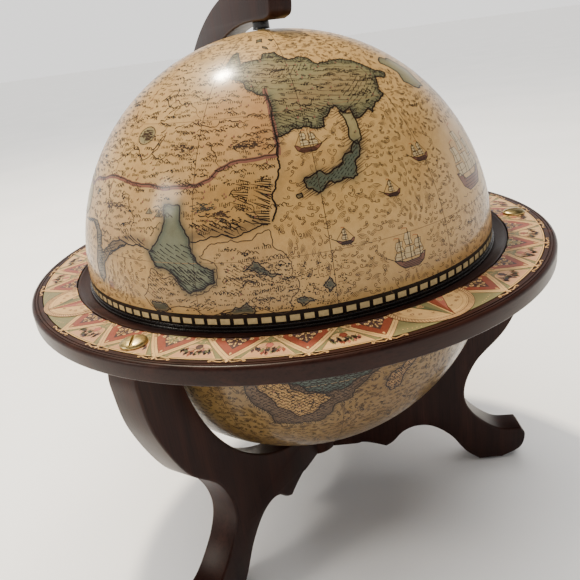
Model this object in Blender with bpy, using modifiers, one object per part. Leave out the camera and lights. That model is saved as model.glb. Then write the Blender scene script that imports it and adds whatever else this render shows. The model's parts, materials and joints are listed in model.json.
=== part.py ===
"""A tabletop globe on a turned-and-sawn wooden stand, with an upper half that opens like a lid.

Frame: metres, +Z up, origin on the globe's axis at table level.
The lid's hinge and the third leg are on the +Y side.
"""

import math

import bmesh
import bpy
from mathutils import Matrix, Vector

# ---------------------------------------------------------------- driving dimensions
GLOBE_RADIUS = 0.165
SHELL_WALL = 0.0025
DOME_CENTRE_Z = 0.2483            # centre of the upper half's sphere
BOWL_CENTRE_Z = 0.2391            # centre of the lower half's sphere
GAP = 0.0003                      # clearance wherever two pieces touch

RING_RADIUS = 0.21075
RING_TOP = 0.2469
RING_THICKNESS = 0.0123
RING_BORE = 0.1670
PRINT_INNER = 0.1761
PRINT_OUTER = 0.2023
PRINT_RECESS = 0.0006

LEG_AZIMUTHS = (210.0, 330.0, 90.0)
LEG_THICKNESS = 0.0245
LEG_ARC_RADIUS = 0.1729           # inner edge, about the bowl's centre
HUB_RADIUS = 0.0215
HUB_BOTTOM = 0.0310
PAD_RADIUS = 0.009
PAD_THICKNESS = 0.0012
PAD_PLACE = 0.171                 # distance of each pad from the axis

BOLT_CIRCLE = 0.1914              # ring bolts stand above the legs' middles
BOLT_HEAD_RADIUS = 0.0088
BOLT_SHANK_RADIUS = 0.0030

ARM_THICKNESS = 0.0186
ARM_INNER_RADIUS = 0.1709
ARM_OUTER_RADIUS = 0.1982
ARM_FOOT_Z = 0.2527

HINGE_Y = 0.2060
HINGE_Z = 0.2498
HINGE_WIDTH = 0.0180
LEAF_THICKNESS = 0.0020
LEAF_INNER_Y = 0.1745
BARREL_RADIUS = 0.0025
PIN_RADIUS = 0.0012

POLE_HOLE = 0.0034
SPACER_RADIUS = 0.0066
EDGE_ROUND = 0.0018

RING_BOTTOM = RING_TOP - RING_THICKNESS
LEG_TOP = RING_BOTTOM - GAP
SOLE_Z = PAD_THICKNESS + GAP
DOME_POLE_Z = DOME_CENTRE_Z + GLOBE_RADIUS
BOWL_POLE_Z = BOWL_CENTRE_Z - GLOBE_RADIUS
ARM_POLE_BOTTOM = DOME_CENTRE_Z + ARM_INNER_RADIUS
ARM_POLE_TOP = DOME_CENTRE_Z + ARM_OUTER_RADIUS

ROUND_STEPS = 40                  # facets round the shells and rims
RING_STEPS = 56
SMALL_STEPS = 12

# Side view of a leg as (distance from the axis, height), one list for each smooth stretch.
LEG_BACK = [(0.2072, LEG_TOP), (0.2079, 0.2220), (0.2031, 0.1884), (0.1836, 0.1442),
            (0.1564, 0.1122), (0.1457, 0.0817), (0.1530, 0.0578), (0.1766, 0.0370), (0.2000, 0.0335)]
LEG_TOE = [(0.2000, 0.0335), (0.2040, 0.0250), (0.1995, 0.0105), (0.1820, SOLE_Z)]
LEG_ARCH = [(0.1600, SOLE_Z), (0.1464, 0.0130), (0.1323, 0.0325), (0.1155, 0.0455),
            (0.1000, 0.0483), (0.0867, 0.0435), (0.0767, 0.0333), (0.0693, 0.0285)]
LEG_BELLY = [(0.0693, 0.0285), (0.0566, 0.0335), (0.0462, 0.0360), (0.0400, 0.0350), (0.0150, 0.0353)]
# The arm's free end, past the pole, as (distance behind the axis, height).
ARM_NOSE = [(0.0000, ARM_POLE_TOP), (-0.0170, 0.4453), (-0.0280, 0.4415), (-0.0332, 0.4350),
            (-0.0337, 0.4270), (-0.0310, 0.4207), (-0.0230, ARM_POLE_BOTTOM - 0.0008)]


# ---------------------------------------------------------------- scene and materials
def clear_scene():
    for old in list(bpy.data.objects):
        bpy.data.objects.remove(old)


def new_collection(name):
    made = bpy.data.collections.new(name)
    bpy.context.scene.collection.children.link(made)
    return made


def make_material(name, colour, roughness, metallic=0.0, coat=0.0):
    made = bpy.data.materials.new(name)
    made.use_nodes = True
    shader = made.node_tree.nodes["Principled BSDF"]
    shader.inputs["Base Color"].default_value = (*colour, 1.0)
    shader.inputs["Roughness"].default_value = roughness
    shader.inputs["Metallic"].default_value = metallic
    shader.inputs["Coat Weight"].default_value = coat
    return made


clear_scene()
PARTS = new_collection("opening_globe")
CUTTERS = new_collection("cutters")


# ---------------------------------------------------------------- shape helpers
def smooth_through(knots, steps):
    """Points on a Catmull-Rom curve through the knots, both ends included."""
    ends = [tuple(2 * a - b for a, b in zip(knots[0], knots[1]))]
    ends_after = [tuple(2 * a - b for a, b in zip(knots[-1], knots[-2]))]
    line = ends + list(knots) + ends_after
    points = []
    for i in range(1, len(line) - 2):
        p0, p1, p2, p3 = line[i - 1:i + 3]
        for k in range(steps):
            t = k / steps
            points.append(tuple(
                0.5 * (2 * b + (c - a) * t + (2 * a - 5 * b + 4 * c - d) * t * t
                       + (3 * b - a - 3 * c + d) * t ** 3)
                for a, b, c, d in zip(p0, p1, p2, p3)))
    points.append(tuple(knots[-1]))
    return points


def arc(centre, radius, start, end, steps):
    """Points on a circular arc; the angles are in radians."""
    turns = [start + (end - start) * k / steps for k in range(steps + 1)]
    return [(centre[0] + radius * math.cos(a), centre[1] + radius * math.sin(a)) for a in turns]


def add_object(name, mesh, material, collection=None):
    made = bpy.data.objects.new(name, mesh)
    (collection or PARTS).objects.link(made)
    if material is not None:
        mesh.materials.clear()
        mesh.materials.append(material)
    return made


def shade(obj, angle=30.0):
    obj.data.shade_smooth()
    obj.data.set_sharp_from_angle(angle=math.radians(angle))


def turned(name, profile, material, steps, closed=False, collection=None):
    """A solid turned about Z. The (radius, height) profile runs down its outer side."""
    mesh = bpy.data.meshes.new(name)
    corners = [(radius, 0.0, height) for radius, height in profile]
    edges = [(i, i + 1) for i in range(len(corners) - 1)]
    if closed:
        edges.append((len(corners) - 1, 0))
    mesh.from_pydata(corners, edges, [])
    made = add_object(name, mesh, material, collection)
    screw = made.modifiers.new("turn", "SCREW")
    screw.axis = "Z"
    screw.steps = steps
    screw.render_steps = steps
    screw.use_merge_vertices = True
    screw.merge_threshold = 0.00001
    return made


def as_mesh(obj, weld=0.00001):
    """Replaces an object by its evaluated mesh, welded, in world coordinates."""
    bpy.context.view_layer.update()
    graph = bpy.context.evaluated_depsgraph_get()
    mesh = bpy.data.meshes.new_from_object(obj.evaluated_get(graph), depsgraph=graph)
    mesh.transform(obj.matrix_world)
    work = bmesh.new()
    work.from_mesh(mesh)
    bmesh.ops.remove_doubles(work, verts=work.verts, dist=weld)
    work.to_mesh(mesh)
    work.free()
    name, home = obj.name, obj.users_collection[0]
    bpy.data.objects.remove(obj)
    made = bpy.data.objects.new(name, mesh)
    home.objects.link(made)
    return made


def board(name, outline, thickness, azimuth, material):
    """A sawn board standing in a vertical plane through the axis, with its long edges rounded."""
    curve = bpy.data.curves.new(name, "CURVE")
    curve.dimensions = "2D"
    curve.fill_mode = "BOTH"
    curve.extrude = thickness / 2 - EDGE_ROUND
    curve.bevel_depth = EDGE_ROUND
    curve.bevel_resolution = 1
    curve.offset = -EDGE_ROUND
    line = curve.splines.new("POLY")
    line.points.add(len(outline) - 1)
    for point, (across, up) in zip(line.points, outline):
        point.co = (across, up, 0.0, 1.0)
    line.use_cyclic_u = True
    sawn = bpy.data.objects.new(name, curve)
    PARTS.objects.link(sawn)
    stand_up = Matrix.Rotation(math.radians(90.0), 4, "X")
    sawn.matrix_world = Matrix.Rotation(math.radians(azimuth), 4, "Z") @ stand_up
    made = as_mesh(sawn)
    made.data.materials.append(material)
    shade(made)
    return made


def box(name, low, high, material=None, collection=None):
    work = bmesh.new()
    bmesh.ops.create_cube(work, size=1.0)
    size = Vector(high) - Vector(low)
    centre = (Vector(high) + Vector(low)) / 2
    bmesh.ops.transform(work, matrix=Matrix.Translation(centre) @ Matrix.Diagonal((*size, 1.0)),
                        verts=work.verts)
    mesh = bpy.data.meshes.new(name)
    work.to_mesh(mesh)
    work.free()
    return add_object(name, mesh, material, collection)


def rod(name, start, end, radius, material=None, collection=None, steps=SMALL_STEPS):
    """A plain cylinder between two points."""
    work = bmesh.new()
    span = Vector(end) - Vector(start)
    turn = span.to_track_quat("Z", "Y").to_matrix().to_4x4()
    place = Matrix.Translation((Vector(start) + Vector(end)) / 2) @ turn
    bmesh.ops.create_cone(work, cap_ends=True, segments=steps, radius1=radius, radius2=radius,
                          depth=span.length, matrix=place)
    mesh = bpy.data.meshes.new(name)
    work.to_mesh(mesh)
    work.free()
    made = add_object(name, mesh, material, collection)
    if material is not None:
        shade(made)
    return made


def hide_cutter(cutter):
    cutter.hide_render = True
    cutter.display_type = "WIRE"


def boolean(obj, cutter, operation="DIFFERENCE"):
    hide_cutter(cutter)
    change = obj.modifiers.new(operation.lower(), "BOOLEAN")
    change.operation = operation
    change.solver = "EXACT"
    change.object = cutter


def drill(obj, start, end, radius, steps=SMALL_STEPS):
    boolean(obj, rod("hole_in_" + obj.name, start, end, radius, collection=CUTTERS, steps=steps))


def radial(distance, azimuth, height):
    angle = math.radians(azimuth)
    return Vector((distance * math.cos(angle), distance * math.sin(angle), height))


def move_to(obj, place):
    obj.location = place
    return obj


# ---------------------------------------------------------------- materials
WOOD = make_material("stained_wood", (0.085, 0.040, 0.030), 0.38, coat=0.3)
MAP = make_material("map_print", (0.62, 0.40, 0.19), 0.30, coat=0.8)
BORDER = make_material("horizon_print", (0.66, 0.44, 0.27), 0.34, coat=0.6)
BLACK = make_material("black_plastic", (0.012, 0.010, 0.009), 0.25)
BRASS = make_material("brass", (0.52, 0.36, 0.13), 0.32, metallic=1.0)
STEEL = make_material("steel", (0.45, 0.45, 0.46), 0.40, metallic=1.0)
FELT = make_material("felt", (0.030, 0.045, 0.030), 0.95)
DOWEL = make_material("dowel_wood", (0.55, 0.36, 0.19), 0.65)
NYLON = make_material("nylon", (0.72, 0.70, 0.64), 0.50)


# ---------------------------------------------------------------- fasteners
def dome_bolt(name, place, head_radius, head_height, shank_radius, length, material=BRASS):
    """A bolt with a domed, slotted head; place is the middle of the head's underside."""
    bulge = [(head_radius * math.cos(a), head_height * math.sin(a))
             for a in (math.radians(d) for d in (90.0, 65.0, 42.0, 20.0, 0.0))]
    bulge[0] = (0.0, head_height)
    shank = [(shank_radius, 0.0), (shank_radius, -length), (0.0, -length)]
    bolt = as_mesh(move_to(turned(name, bulge + shank, None, SMALL_STEPS), place))
    bolt.data.materials.append(material)
    top = Vector(place).z + head_height
    half_slot = head_radius * 0.115
    low = (place[0] - 2 * head_radius, place[1] - half_slot, top - head_height * 0.42)
    high = (place[0] + 2 * head_radius, place[1] + half_slot, top + head_height)
    boolean(bolt, box("slot_in_" + name, low, high, collection=CUTTERS))
    shade(bolt, 40.0)
    return bolt


def sunk_profile(head_radius, shank_radius, length, spare=0.0):
    """A countersunk screw's half outline, its top at height 0."""
    sink = head_radius - shank_radius
    return [(0.0, spare), (head_radius + spare, spare), (head_radius + spare, 0.0),
            (shank_radius + spare, -sink), (shank_radius + spare, -length),
            (0.0, -length - shank_radius)]


def sunk_screw(name, place, down, length, head_radius=0.0032, shank_radius=0.0018):
    """A countersunk screw; down is +1 when it points down and -1 when it points up."""
    profile = sunk_profile(head_radius, shank_radius, length)[1:]
    profile[0] = (0.0, 0.0)
    profile.insert(1, (head_radius, 0.0))
    profile.pop(2)
    made = turned(name, profile, BRASS, 12)
    made.location = place
    if down < 0:
        made.rotation_euler.x = math.pi
    return made


def sink_hole(obj, place, down, length, head_radius=0.0032, shank_radius=0.0018):
    """The hole for a countersunk screw, clear of it all round."""
    profile = sunk_profile(head_radius, shank_radius, length, spare=GAP)
    cutter = turned("sunk_hole_in_" + obj.name, profile, None, 12, collection=CUTTERS)
    cutter.location = place
    if down < 0:
        cutter.rotation_euler.x = math.pi
    boolean(obj, cutter)


def washer(name, bottom, outer, inner, thickness, material, steps=16):
    top = bottom + thickness
    return turned(name, [(inner, top), (outer, top), (outer, bottom), (inner, bottom)],
                  material, steps, closed=True)


# ---------------------------------------------------------------- horizon ring
HINGE_SCREWS_Y = (0.1805, 0.1955)
HINGE_SCREW_X = 0.0045


def horizon_ring():
    """The flat wooden ring round the globe's middle, with a recess for its printed border."""
    profile = [(PRINT_OUTER, RING_TOP), (RING_RADIUS - 0.0016, RING_TOP),
               (RING_RADIUS, RING_TOP - 0.0016), (RING_RADIUS, RING_BOTTOM + 0.0012),
               (RING_RADIUS - 0.0012, RING_BOTTOM),
               (0.1720, RING_BOTTOM), (0.1720, RING_BOTTOM + 0.0034),
               (RING_BORE, RING_BOTTOM + 0.0034), (RING_BORE, RING_TOP - 0.0019)]
    inner = [(0.1705, RING_TOP - 0.0013), (0.1745, RING_TOP), (PRINT_INNER, RING_TOP)]
    recess = [(PRINT_INNER, RING_TOP - PRINT_RECESS), (PRINT_OUTER, RING_TOP - PRINT_RECESS)]
    ring = turned("horizon_ring", profile + inner + recess, WOOD, RING_STEPS, closed=True)
    ring = as_mesh(ring)
    ring.data.materials.append(WOOD)
    shade(ring)
    for azimuth in LEG_AZIMUTHS[:2]:
        drill(ring, radial(BOLT_CIRCLE, azimuth, RING_BOTTOM - 0.01),
              radial(BOLT_CIRCLE, azimuth, RING_TOP + 0.01), BOLT_SHANK_RADIUS + 0.0004)
    for y in HINGE_SCREWS_Y:
        drill(ring, (HINGE_SCREW_X * sign_of(y), y, RING_BOTTOM - 0.01),
              (HINGE_SCREW_X * sign_of(y), y, RING_TOP + 0.01), 0.0022, 12)
    return ring


def sign_of(y):
    """The two screws of each hinge leaf are staggered to either side of its middle."""
    return -1.0 if y == HINGE_SCREWS_Y[0] else 1.0


def horizon_print():
    """The printed paper border, laid flush in the ring's recess."""
    top = RING_TOP
    bottom = RING_TOP - PRINT_RECESS + GAP
    outline = [(PRINT_INNER + GAP, top), (PRINT_OUTER - GAP, top),
               (PRINT_OUTER - GAP, bottom), (PRINT_INNER + GAP, bottom)]
    border = as_mesh(turned("horizon_print", outline, BORDER, RING_STEPS, closed=True))
    border.data.materials.append(BORDER)
    for azimuth in LEG_AZIMUTHS[:2]:
        drill(border, radial(BOLT_CIRCLE, azimuth, bottom - 0.01),
              radial(BOLT_CIRCLE, azimuth, top + 0.01), BOLT_SHANK_RADIUS + 0.0004)
    for y in HINGE_SCREWS_Y:
        drill(border, (HINGE_SCREW_X * sign_of(y), y, bottom - 0.01),
              (HINGE_SCREW_X * sign_of(y), y, top + 0.01), 0.0022, 12)
    return border


# ---------------------------------------------------------------- legs and hub
def leg_outline(steps):
    """The leg's side view, counter-clockwise from the top of its inner edge."""
    start = math.asin((LEG_TOP - BOWL_CENTRE_Z) / LEG_ARC_RADIUS)
    end = -math.acos(LEG_BELLY[-1][0] / LEG_ARC_RADIUS)
    inner = arc((0.0, BOWL_CENTRE_Z), LEG_ARC_RADIUS, start, end, 9 * steps // 2)
    belly = smooth_through(LEG_BELLY, steps)[::-1]
    arch = smooth_through(LEG_ARCH, steps)[::-1]
    toe = smooth_through(LEG_TOE, steps)[::-1]
    back = smooth_through(LEG_BACK, steps)[::-1]
    return inner + belly[:-1] + arch + toe[:-1] + back


DOWEL_Z = 0.052
DOWEL_RADIUS = 0.004
DOWEL_SPAN = (0.0120, 0.0400)
INSERT_RADIUS = 0.0050
INSERT_LENGTH = 0.0150
BOLT_LENGTH = 0.0290


def legs():
    for number, azimuth in enumerate(LEG_AZIMUTHS, 1):
        leg = board(f"leg_{number}", leg_outline(2), LEG_THICKNESS, azimuth, WOOD)
        drill(leg, (0.0, 0.0, 0.0), (0.0, 0.0, 0.1), HUB_RADIUS + GAP, 36)
        drill(leg, radial(0.01, azimuth, DOWEL_Z), radial(DOWEL_SPAN[1] + GAP, azimuth, DOWEL_Z),
              DOWEL_RADIUS + GAP)
        if number < 3:
            top = radial(BOLT_CIRCLE, azimuth, LEG_TOP + 0.01)
            drill(leg, top, radial(BOLT_CIRCLE, azimuth, LEG_TOP - INSERT_LENGTH - 2 * GAP),
                  INSERT_RADIUS + GAP)
            drill(leg, top, radial(BOLT_CIRCLE, azimuth, RING_TOP - BOLT_LENGTH - 0.001),
                  BOLT_SHANK_RADIUS + GAP)
        else:
            for y in HINGE_SCREWS_Y:
                x = HINGE_SCREW_X * sign_of(y)
                drill(leg, (x, y, LEG_TOP + 0.01), (x, y, RING_TOP - 0.032), 0.0022, 12)


def leg_hub():
    """The turned block that the three legs meet round, rounded underneath."""
    top = BOWL_POLE_Z - 2 * GAP
    curve = [(HUB_RADIUS, HUB_BOTTOM + 0.0055), (HUB_RADIUS * 0.93, HUB_BOTTOM + 0.0028),
             (HUB_RADIUS * 0.72, HUB_BOTTOM + 0.0010), (HUB_RADIUS * 0.4, HUB_BOTTOM)]
    profile = [(0.0, top), (HUB_RADIUS, top)] + curve + [(0.0, HUB_BOTTOM - 0.0003)]
    hub = as_mesh(turned("leg_hub", profile, WOOD, 24))
    hub.data.materials.append(WOOD)
    shade(hub)
    for azimuth in LEG_AZIMUTHS:
        drill(hub, radial(DOWEL_SPAN[0] - GAP, azimuth, DOWEL_Z), radial(0.03, azimuth, DOWEL_Z),
              DOWEL_RADIUS + GAP)
    drill(hub, (0.0, 0.0, top + 0.01), (0.0, 0.0, top - 0.0125), 0.0026)


def leg_fixings():
    """Dowels between hub and legs, threaded inserts in the leg tops, and the brass ring bolts."""
    for number, azimuth in enumerate(LEG_AZIMUTHS, 1):
        rod(f"leg_dowel_{number}", radial(DOWEL_SPAN[0], azimuth, DOWEL_Z),
            radial(DOWEL_SPAN[1], azimuth, DOWEL_Z), DOWEL_RADIUS, DOWEL)
        pad = rod(f"foot_pad_{number}", radial(PAD_PLACE, azimuth, 0.0),
                  radial(PAD_PLACE, azimuth, PAD_THICKNESS), PAD_RADIUS, FELT, steps=16)
        shade(pad)
        if number < 3:
            insert = washer(f"leg_insert_{number}", LEG_TOP - GAP - INSERT_LENGTH, INSERT_RADIUS,
                            BOLT_SHANK_RADIUS + GAP, INSERT_LENGTH, BRASS, SMALL_STEPS)
            insert.location = radial(BOLT_CIRCLE, azimuth, 0.0)
            dome_bolt(f"ring_bolt_{number}", radial(BOLT_CIRCLE, azimuth, RING_TOP + GAP),
                      BOLT_HEAD_RADIUS, 0.0034, BOLT_SHANK_RADIUS, BOLT_LENGTH)


# ---------------------------------------------------------------- lower half
SHELL_RINGS = 10
RIM_TOP = RING_TOP - 0.0005
RIM_SCREW_CIRCLE = 0.1691
RIM_SCREW_AZIMUTHS = (30.0, 150.0, 270.0)
SEAT_Z = BOWL_CENTRE_Z + GAP      # shoulder that the bowl's edge is glued under


def half_sphere(outer, inner, start, end, centre):
    """Closed half outline of a spherical shell between two angles from the horizontal."""
    first = arc((0.0, centre), outer, start, end, SHELL_RINGS)
    second = arc((0.0, centre), inner, end, start, SHELL_RINGS)
    return first + second


def lower_bowl():
    """The lower half of the globe, a thin map-covered shell with a small hole at the bottom."""
    inner = GLOBE_RADIUS - SHELL_WALL
    hole = 0.0030
    end = -math.acos(hole / GLOBE_RADIUS)
    outline = half_sphere(GLOBE_RADIUS, inner, 0.0, end, BOWL_CENTRE_Z)
    bowl = turned("lower_bowl", outline, MAP, ROUND_STEPS, closed=True)
    shade_turned(bowl)
    washer("bowl_washer", BOWL_POLE_Z + SHELL_WALL + 0.0006, 0.0080, 0.0026, 0.0012, STEEL)
    screw_z = BOWL_POLE_Z + SHELL_WALL + 0.0006 + 0.0012 + GAP
    dome_bolt("bowl_screw", (0.0, 0.0, screw_z), 0.0042, 0.0022, 0.0022, 0.0150, STEEL)


def shade_turned(obj):
    for modifier in obj.modifiers:
        if modifier.type == "SCREW":
            modifier.use_smooth_shade = True


def lower_rim():
    """The black rim glued round the bowl's edge; its flange is screwed under the ring."""
    outer = RING_BORE - 0.0004
    inner = GLOBE_RADIUS - SHELL_WALL - 0.0001
    flange = 0.1716
    flange_top = RING_BOTTOM + 0.0034 - GAP
    flange_bottom = RING_BOTTOM + GAP
    skirt = GLOBE_RADIUS + 0.0004
    profile = [(inner, RIM_TOP), (outer - 0.0004, RIM_TOP), (outer, RIM_TOP - 0.0004),
               (outer, flange_top), (flange, flange_top), (flange, flange_bottom),
               (skirt, flange_bottom), (skirt, SEAT_Z), (inner, SEAT_Z)]
    rim = as_mesh(turned("lower_rim", profile, BLACK, ROUND_STEPS, closed=True))
    rim.data.materials.append(BLACK)
    shade(rim)
    for number, azimuth in enumerate(RIM_SCREW_AZIMUTHS, 1):
        place = radial(RIM_SCREW_CIRCLE, azimuth, 0.0)
        top = RING_BOTTOM + 0.0034 + 0.0045
        drill(rim, radial(RIM_SCREW_CIRCLE, azimuth, flange_bottom - 0.01),
              radial(RIM_SCREW_CIRCLE, azimuth, flange_top + 0.01), 0.0016, 12)
        drill(bpy.data.objects["horizon_ring"],
              radial(RIM_SCREW_CIRCLE, azimuth, flange_top - 0.001),
              radial(RIM_SCREW_CIRCLE, azimuth, top + GAP), 0.0016, 12)
        profile = [(0.0, top), (0.0013, top - 0.001), (0.0013, flange_bottom - GAP),
                   (0.0023, flange_bottom - GAP), (0.0021, flange_bottom - 0.0012),
                   (0.0, flange_bottom - 0.0016)]
        screw = turned(f"rim_screw_{number}", profile, STEEL, 12)
        screw.location = place


# ---------------------------------------------------------------- upper half, the lid
DOME_EDGE_Z = DOME_CENTRE_Z + GAP
DOME_HOLE = 0.0050


def upper_dome():
    """The upper half of the globe, a map-covered shell that turns about its pole."""
    inner = GLOBE_RADIUS - SHELL_WALL
    start = math.asin((DOME_EDGE_Z - DOME_CENTRE_Z) / GLOBE_RADIUS)
    end = math.acos(DOME_HOLE / GLOBE_RADIUS)
    outline = half_sphere(GLOBE_RADIUS, inner, start, end, DOME_CENTRE_Z)[::-1]
    dome = turned("upper_dome", outline, MAP, ROUND_STEPS, closed=True)
    shade_turned(dome)
    return dome


def upper_rim():
    """The black rim under the dome; one lip stands inside the dome and one inside the lower rim."""
    face = DOME_EDGE_Z - GAP
    bottom = RIM_TOP + GAP
    profile = [(0.1602, face + 0.0040), (0.1620, face + 0.0040), (0.1620, face),
               (GLOBE_RADIUS + 0.0004, face), (GLOBE_RADIUS + 0.0004, bottom),
               (0.1616, bottom), (0.1616, bottom - 0.0030), (0.1598, bottom - 0.0030)]
    rim = turned("upper_rim", profile, BLACK, ROUND_STEPS, closed=True)
    return rim


def pole_bush():
    """The nylon bush in the dome's pole hole, which runs on the pole bolt."""
    inside = DOME_POLE_Z - SHELL_WALL - 0.0006
    profile = [(POLE_HOLE, DOME_POLE_Z), (DOME_HOLE - GAP - 0.0002, DOME_POLE_Z),
               (DOME_HOLE - GAP - 0.0002, inside), (0.0080, inside), (0.0080, inside - 0.0012),
               (POLE_HOLE, inside - 0.0012)]
    return turned("pole_bush", profile, NYLON, SMALL_STEPS, closed=True)


# ---------------------------------------------------------------- arm and hinge
def meridian_arm():
    """The sawn wooden arm that rises from the hinge and carries the lid from its pole."""
    foot_in = math.asin((ARM_FOOT_Z - DOME_CENTRE_Z) / ARM_INNER_RADIUS)
    foot_out = math.asin((ARM_FOOT_Z - DOME_CENTRE_Z) / ARM_OUTER_RADIUS)
    centre = (0.0, DOME_CENTRE_Z)
    outer = arc(centre, ARM_OUTER_RADIUS, foot_out, math.radians(90.0), 15)
    nose = smooth_through(ARM_NOSE, 2)[1:]
    inner = arc(centre, ARM_INNER_RADIUS, math.radians(90.0), foot_in, 13)
    arm = board("meridian_arm", outer + nose + inner, ARM_THICKNESS, 90.0, WOOD)
    drill(arm, (0.0, 0.0, ARM_POLE_BOTTOM - 0.01), (0.0, 0.0, ARM_POLE_TOP + 0.01), POLE_HOLE)
    for y in HINGE_SCREWS_Y:
        x = HINGE_SCREW_X * sign_of(y)
        drill(arm, (x, y, ARM_FOOT_Z - 0.01), (x, y, HINGE_Z + 0.0240), 0.0022, 12)
    return arm


def hinge_leaf(name, low_z, knuckles, gaps, screw_face, down):
    """A leaf: a plate with barrel knuckles along its outer edge, bored for the pin."""
    half = HINGE_WIDTH / 2
    leaf = box(name, (-half, LEAF_INNER_Y, low_z), (half, HINGE_Y, low_z + LEAF_THICKNESS), BRASS)
    clear_y = HINGE_Y - BARREL_RADIUS - 2 * GAP
    for start, end in gaps:
        boolean(leaf, box("notch_in_" + name, (start, clear_y, low_z - 0.01),
                          (end, HINGE_Y + 0.01, low_z + 0.01), collection=CUTTERS))
    for start, end in knuckles:
        barrel = rod("barrel_of_" + name, (start, HINGE_Y, HINGE_Z), (end, HINGE_Y, HINGE_Z),
                     BARREL_RADIUS, collection=CUTTERS)
        boolean(leaf, barrel, "UNION")
    drill(leaf, (-0.02, HINGE_Y, HINGE_Z), (0.02, HINGE_Y, HINGE_Z), PIN_RADIUS + GAP)
    for y in HINGE_SCREWS_Y:
        sink_hole(leaf, (HINGE_SCREW_X * sign_of(y), y, screw_face), down, 0.01)
    return leaf


def hinge():
    half = HINGE_WIDTH / 2
    split = half / 3
    fixed_z = RING_TOP + GAP
    moving_z = ARM_FOOT_Z - GAP - LEAF_THICKNESS
    hinge_leaf("hinge_leaf_ring", fixed_z, [(-half, -split - GAP / 2), (split + GAP / 2, half)],
               [(-split - GAP / 2, split + GAP / 2)], fixed_z + LEAF_THICKNESS, 1)
    hinge_leaf("hinge_leaf_arm", moving_z, [(-split + GAP / 2, split - GAP / 2)],
               [(-half - 0.001, -split + GAP / 2), (split - GAP / 2, half + 0.001)], moving_z, -1)
    pin_half = half + 0.0006
    profile = [(0.0, pin_half + 0.0006), (0.0018, pin_half + 0.0006), (0.0018, pin_half),
               (PIN_RADIUS, pin_half), (PIN_RADIUS, -pin_half - 0.0004), (0.0, -pin_half - 0.0004)]
    pin = turned("hinge_pin", profile, BRASS, SMALL_STEPS)
    pin.location = (0.0, HINGE_Y, HINGE_Z)
    pin.rotation_euler.y = math.radians(90.0)
    for number, y in enumerate(HINGE_SCREWS_Y, 1):
        x = HINGE_SCREW_X * sign_of(y)
        sunk_screw(f"ring_hinge_screw_{number}", (x, y, fixed_z + LEAF_THICKNESS), 1, 0.0280)
        sunk_screw(f"arm_hinge_screw_{number}", (x, y, moving_z), -1, 0.0180)


def pole_fittings():
    """What hangs the lid from the arm: bolt, washers, spacer and a nut inside the dome."""
    spacer_low = DOME_POLE_Z + GAP
    arch_drop = 0.0004            # how much lower the arm's arched edge is beside the pole
    spacer_high = ARM_POLE_BOTTOM - arch_drop - GAP
    washer("pole_spacer", spacer_low, SPACER_RADIUS, POLE_HOLE, spacer_high - spacer_low, BLACK)
    washer("pole_top_washer", ARM_POLE_TOP + GAP, 0.0085, POLE_HOLE, 0.0010, BRASS)
    head_z = ARM_POLE_TOP + GAP + 0.0010 + GAP
    bush_bottom = DOME_POLE_Z - SHELL_WALL - 0.0006 - 0.0012
    nut_top = bush_bottom - GAP - 0.0012 - GAP
    dome_bolt("pole_bolt", (0.0, 0.0, head_z), 0.0068, 0.0034, 0.0030, head_z - nut_top + 0.0065)
    washer("pole_inner_washer", bush_bottom - GAP - 0.0012, 0.0080, POLE_HOLE, 0.0012, STEEL)
    nut = rod("pole_nut", (0.0, 0.0, nut_top - 0.0050), (0.0, 0.0, nut_top), 0.0058, STEEL, steps=6)
    drill(nut, (0.0, 0.0, nut_top - 0.01), (0.0, 0.0, nut_top + 0.01), POLE_HOLE)


# ---------------------------------------------------------------- build and join
horizon_ring()
horizon_print()
legs()
leg_hub()
leg_fixings()
lower_bowl()
lower_rim()
upper_dome()
upper_rim()
pole_bush()
meridian_arm()
hinge()
pole_fittings()

ARM_BODY = ("meridian_arm", "hinge_leaf_arm", "arm_hinge_screw_1", "arm_hinge_screw_2",
            "pole_spacer", "pole_top_washer", "pole_bolt", "pole_inner_washer", "pole_nut")
DOME_BODY = ("upper_dome", "upper_rim", "pole_bush")


def pivot(name, place, parent=None):
    """An empty on a joint's axis, which carries the pieces that move with the joint."""
    made = bpy.data.objects.new(name, None)
    PARTS.objects.link(made)
    made.location = place
    bpy.context.view_layer.update()
    if parent is not None:
        hang(made, parent)
    return made


def hang(obj, parent):
    """Parents an object without moving it."""
    obj.parent = parent
    obj.matrix_parent_inverse = parent.matrix_world.inverted()
    bpy.context.view_layer.update()


bpy.context.view_layer.update()
lid_pivot = pivot("lid_pivot", (0.0, HINGE_Y, HINGE_Z))
for part_name in ARM_BODY:
    hang(bpy.data.objects[part_name], lid_pivot)
spin_pivot = pivot("spin_pivot", (0.0, 0.0, DOME_POLE_Z), lid_pivot)
for part_name in DOME_BODY:
    hang(bpy.data.objects[part_name], spin_pivot)
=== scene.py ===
"""The looks of a tabletop opening globe: printed map and border, stained wood, brass and plastic.

Frame: metres, +Z up, origin on the globe's axis at table level; the hinge is on the +Y side.
Angles round the axis are in degrees, counter-clockwise from +X seen from above.
"""
import json
import math
import random

import bmesh
import bpy
import numpy as np
from mathutils import Matrix, Vector
from mathutils.geometry import tessellate_polygon


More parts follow.
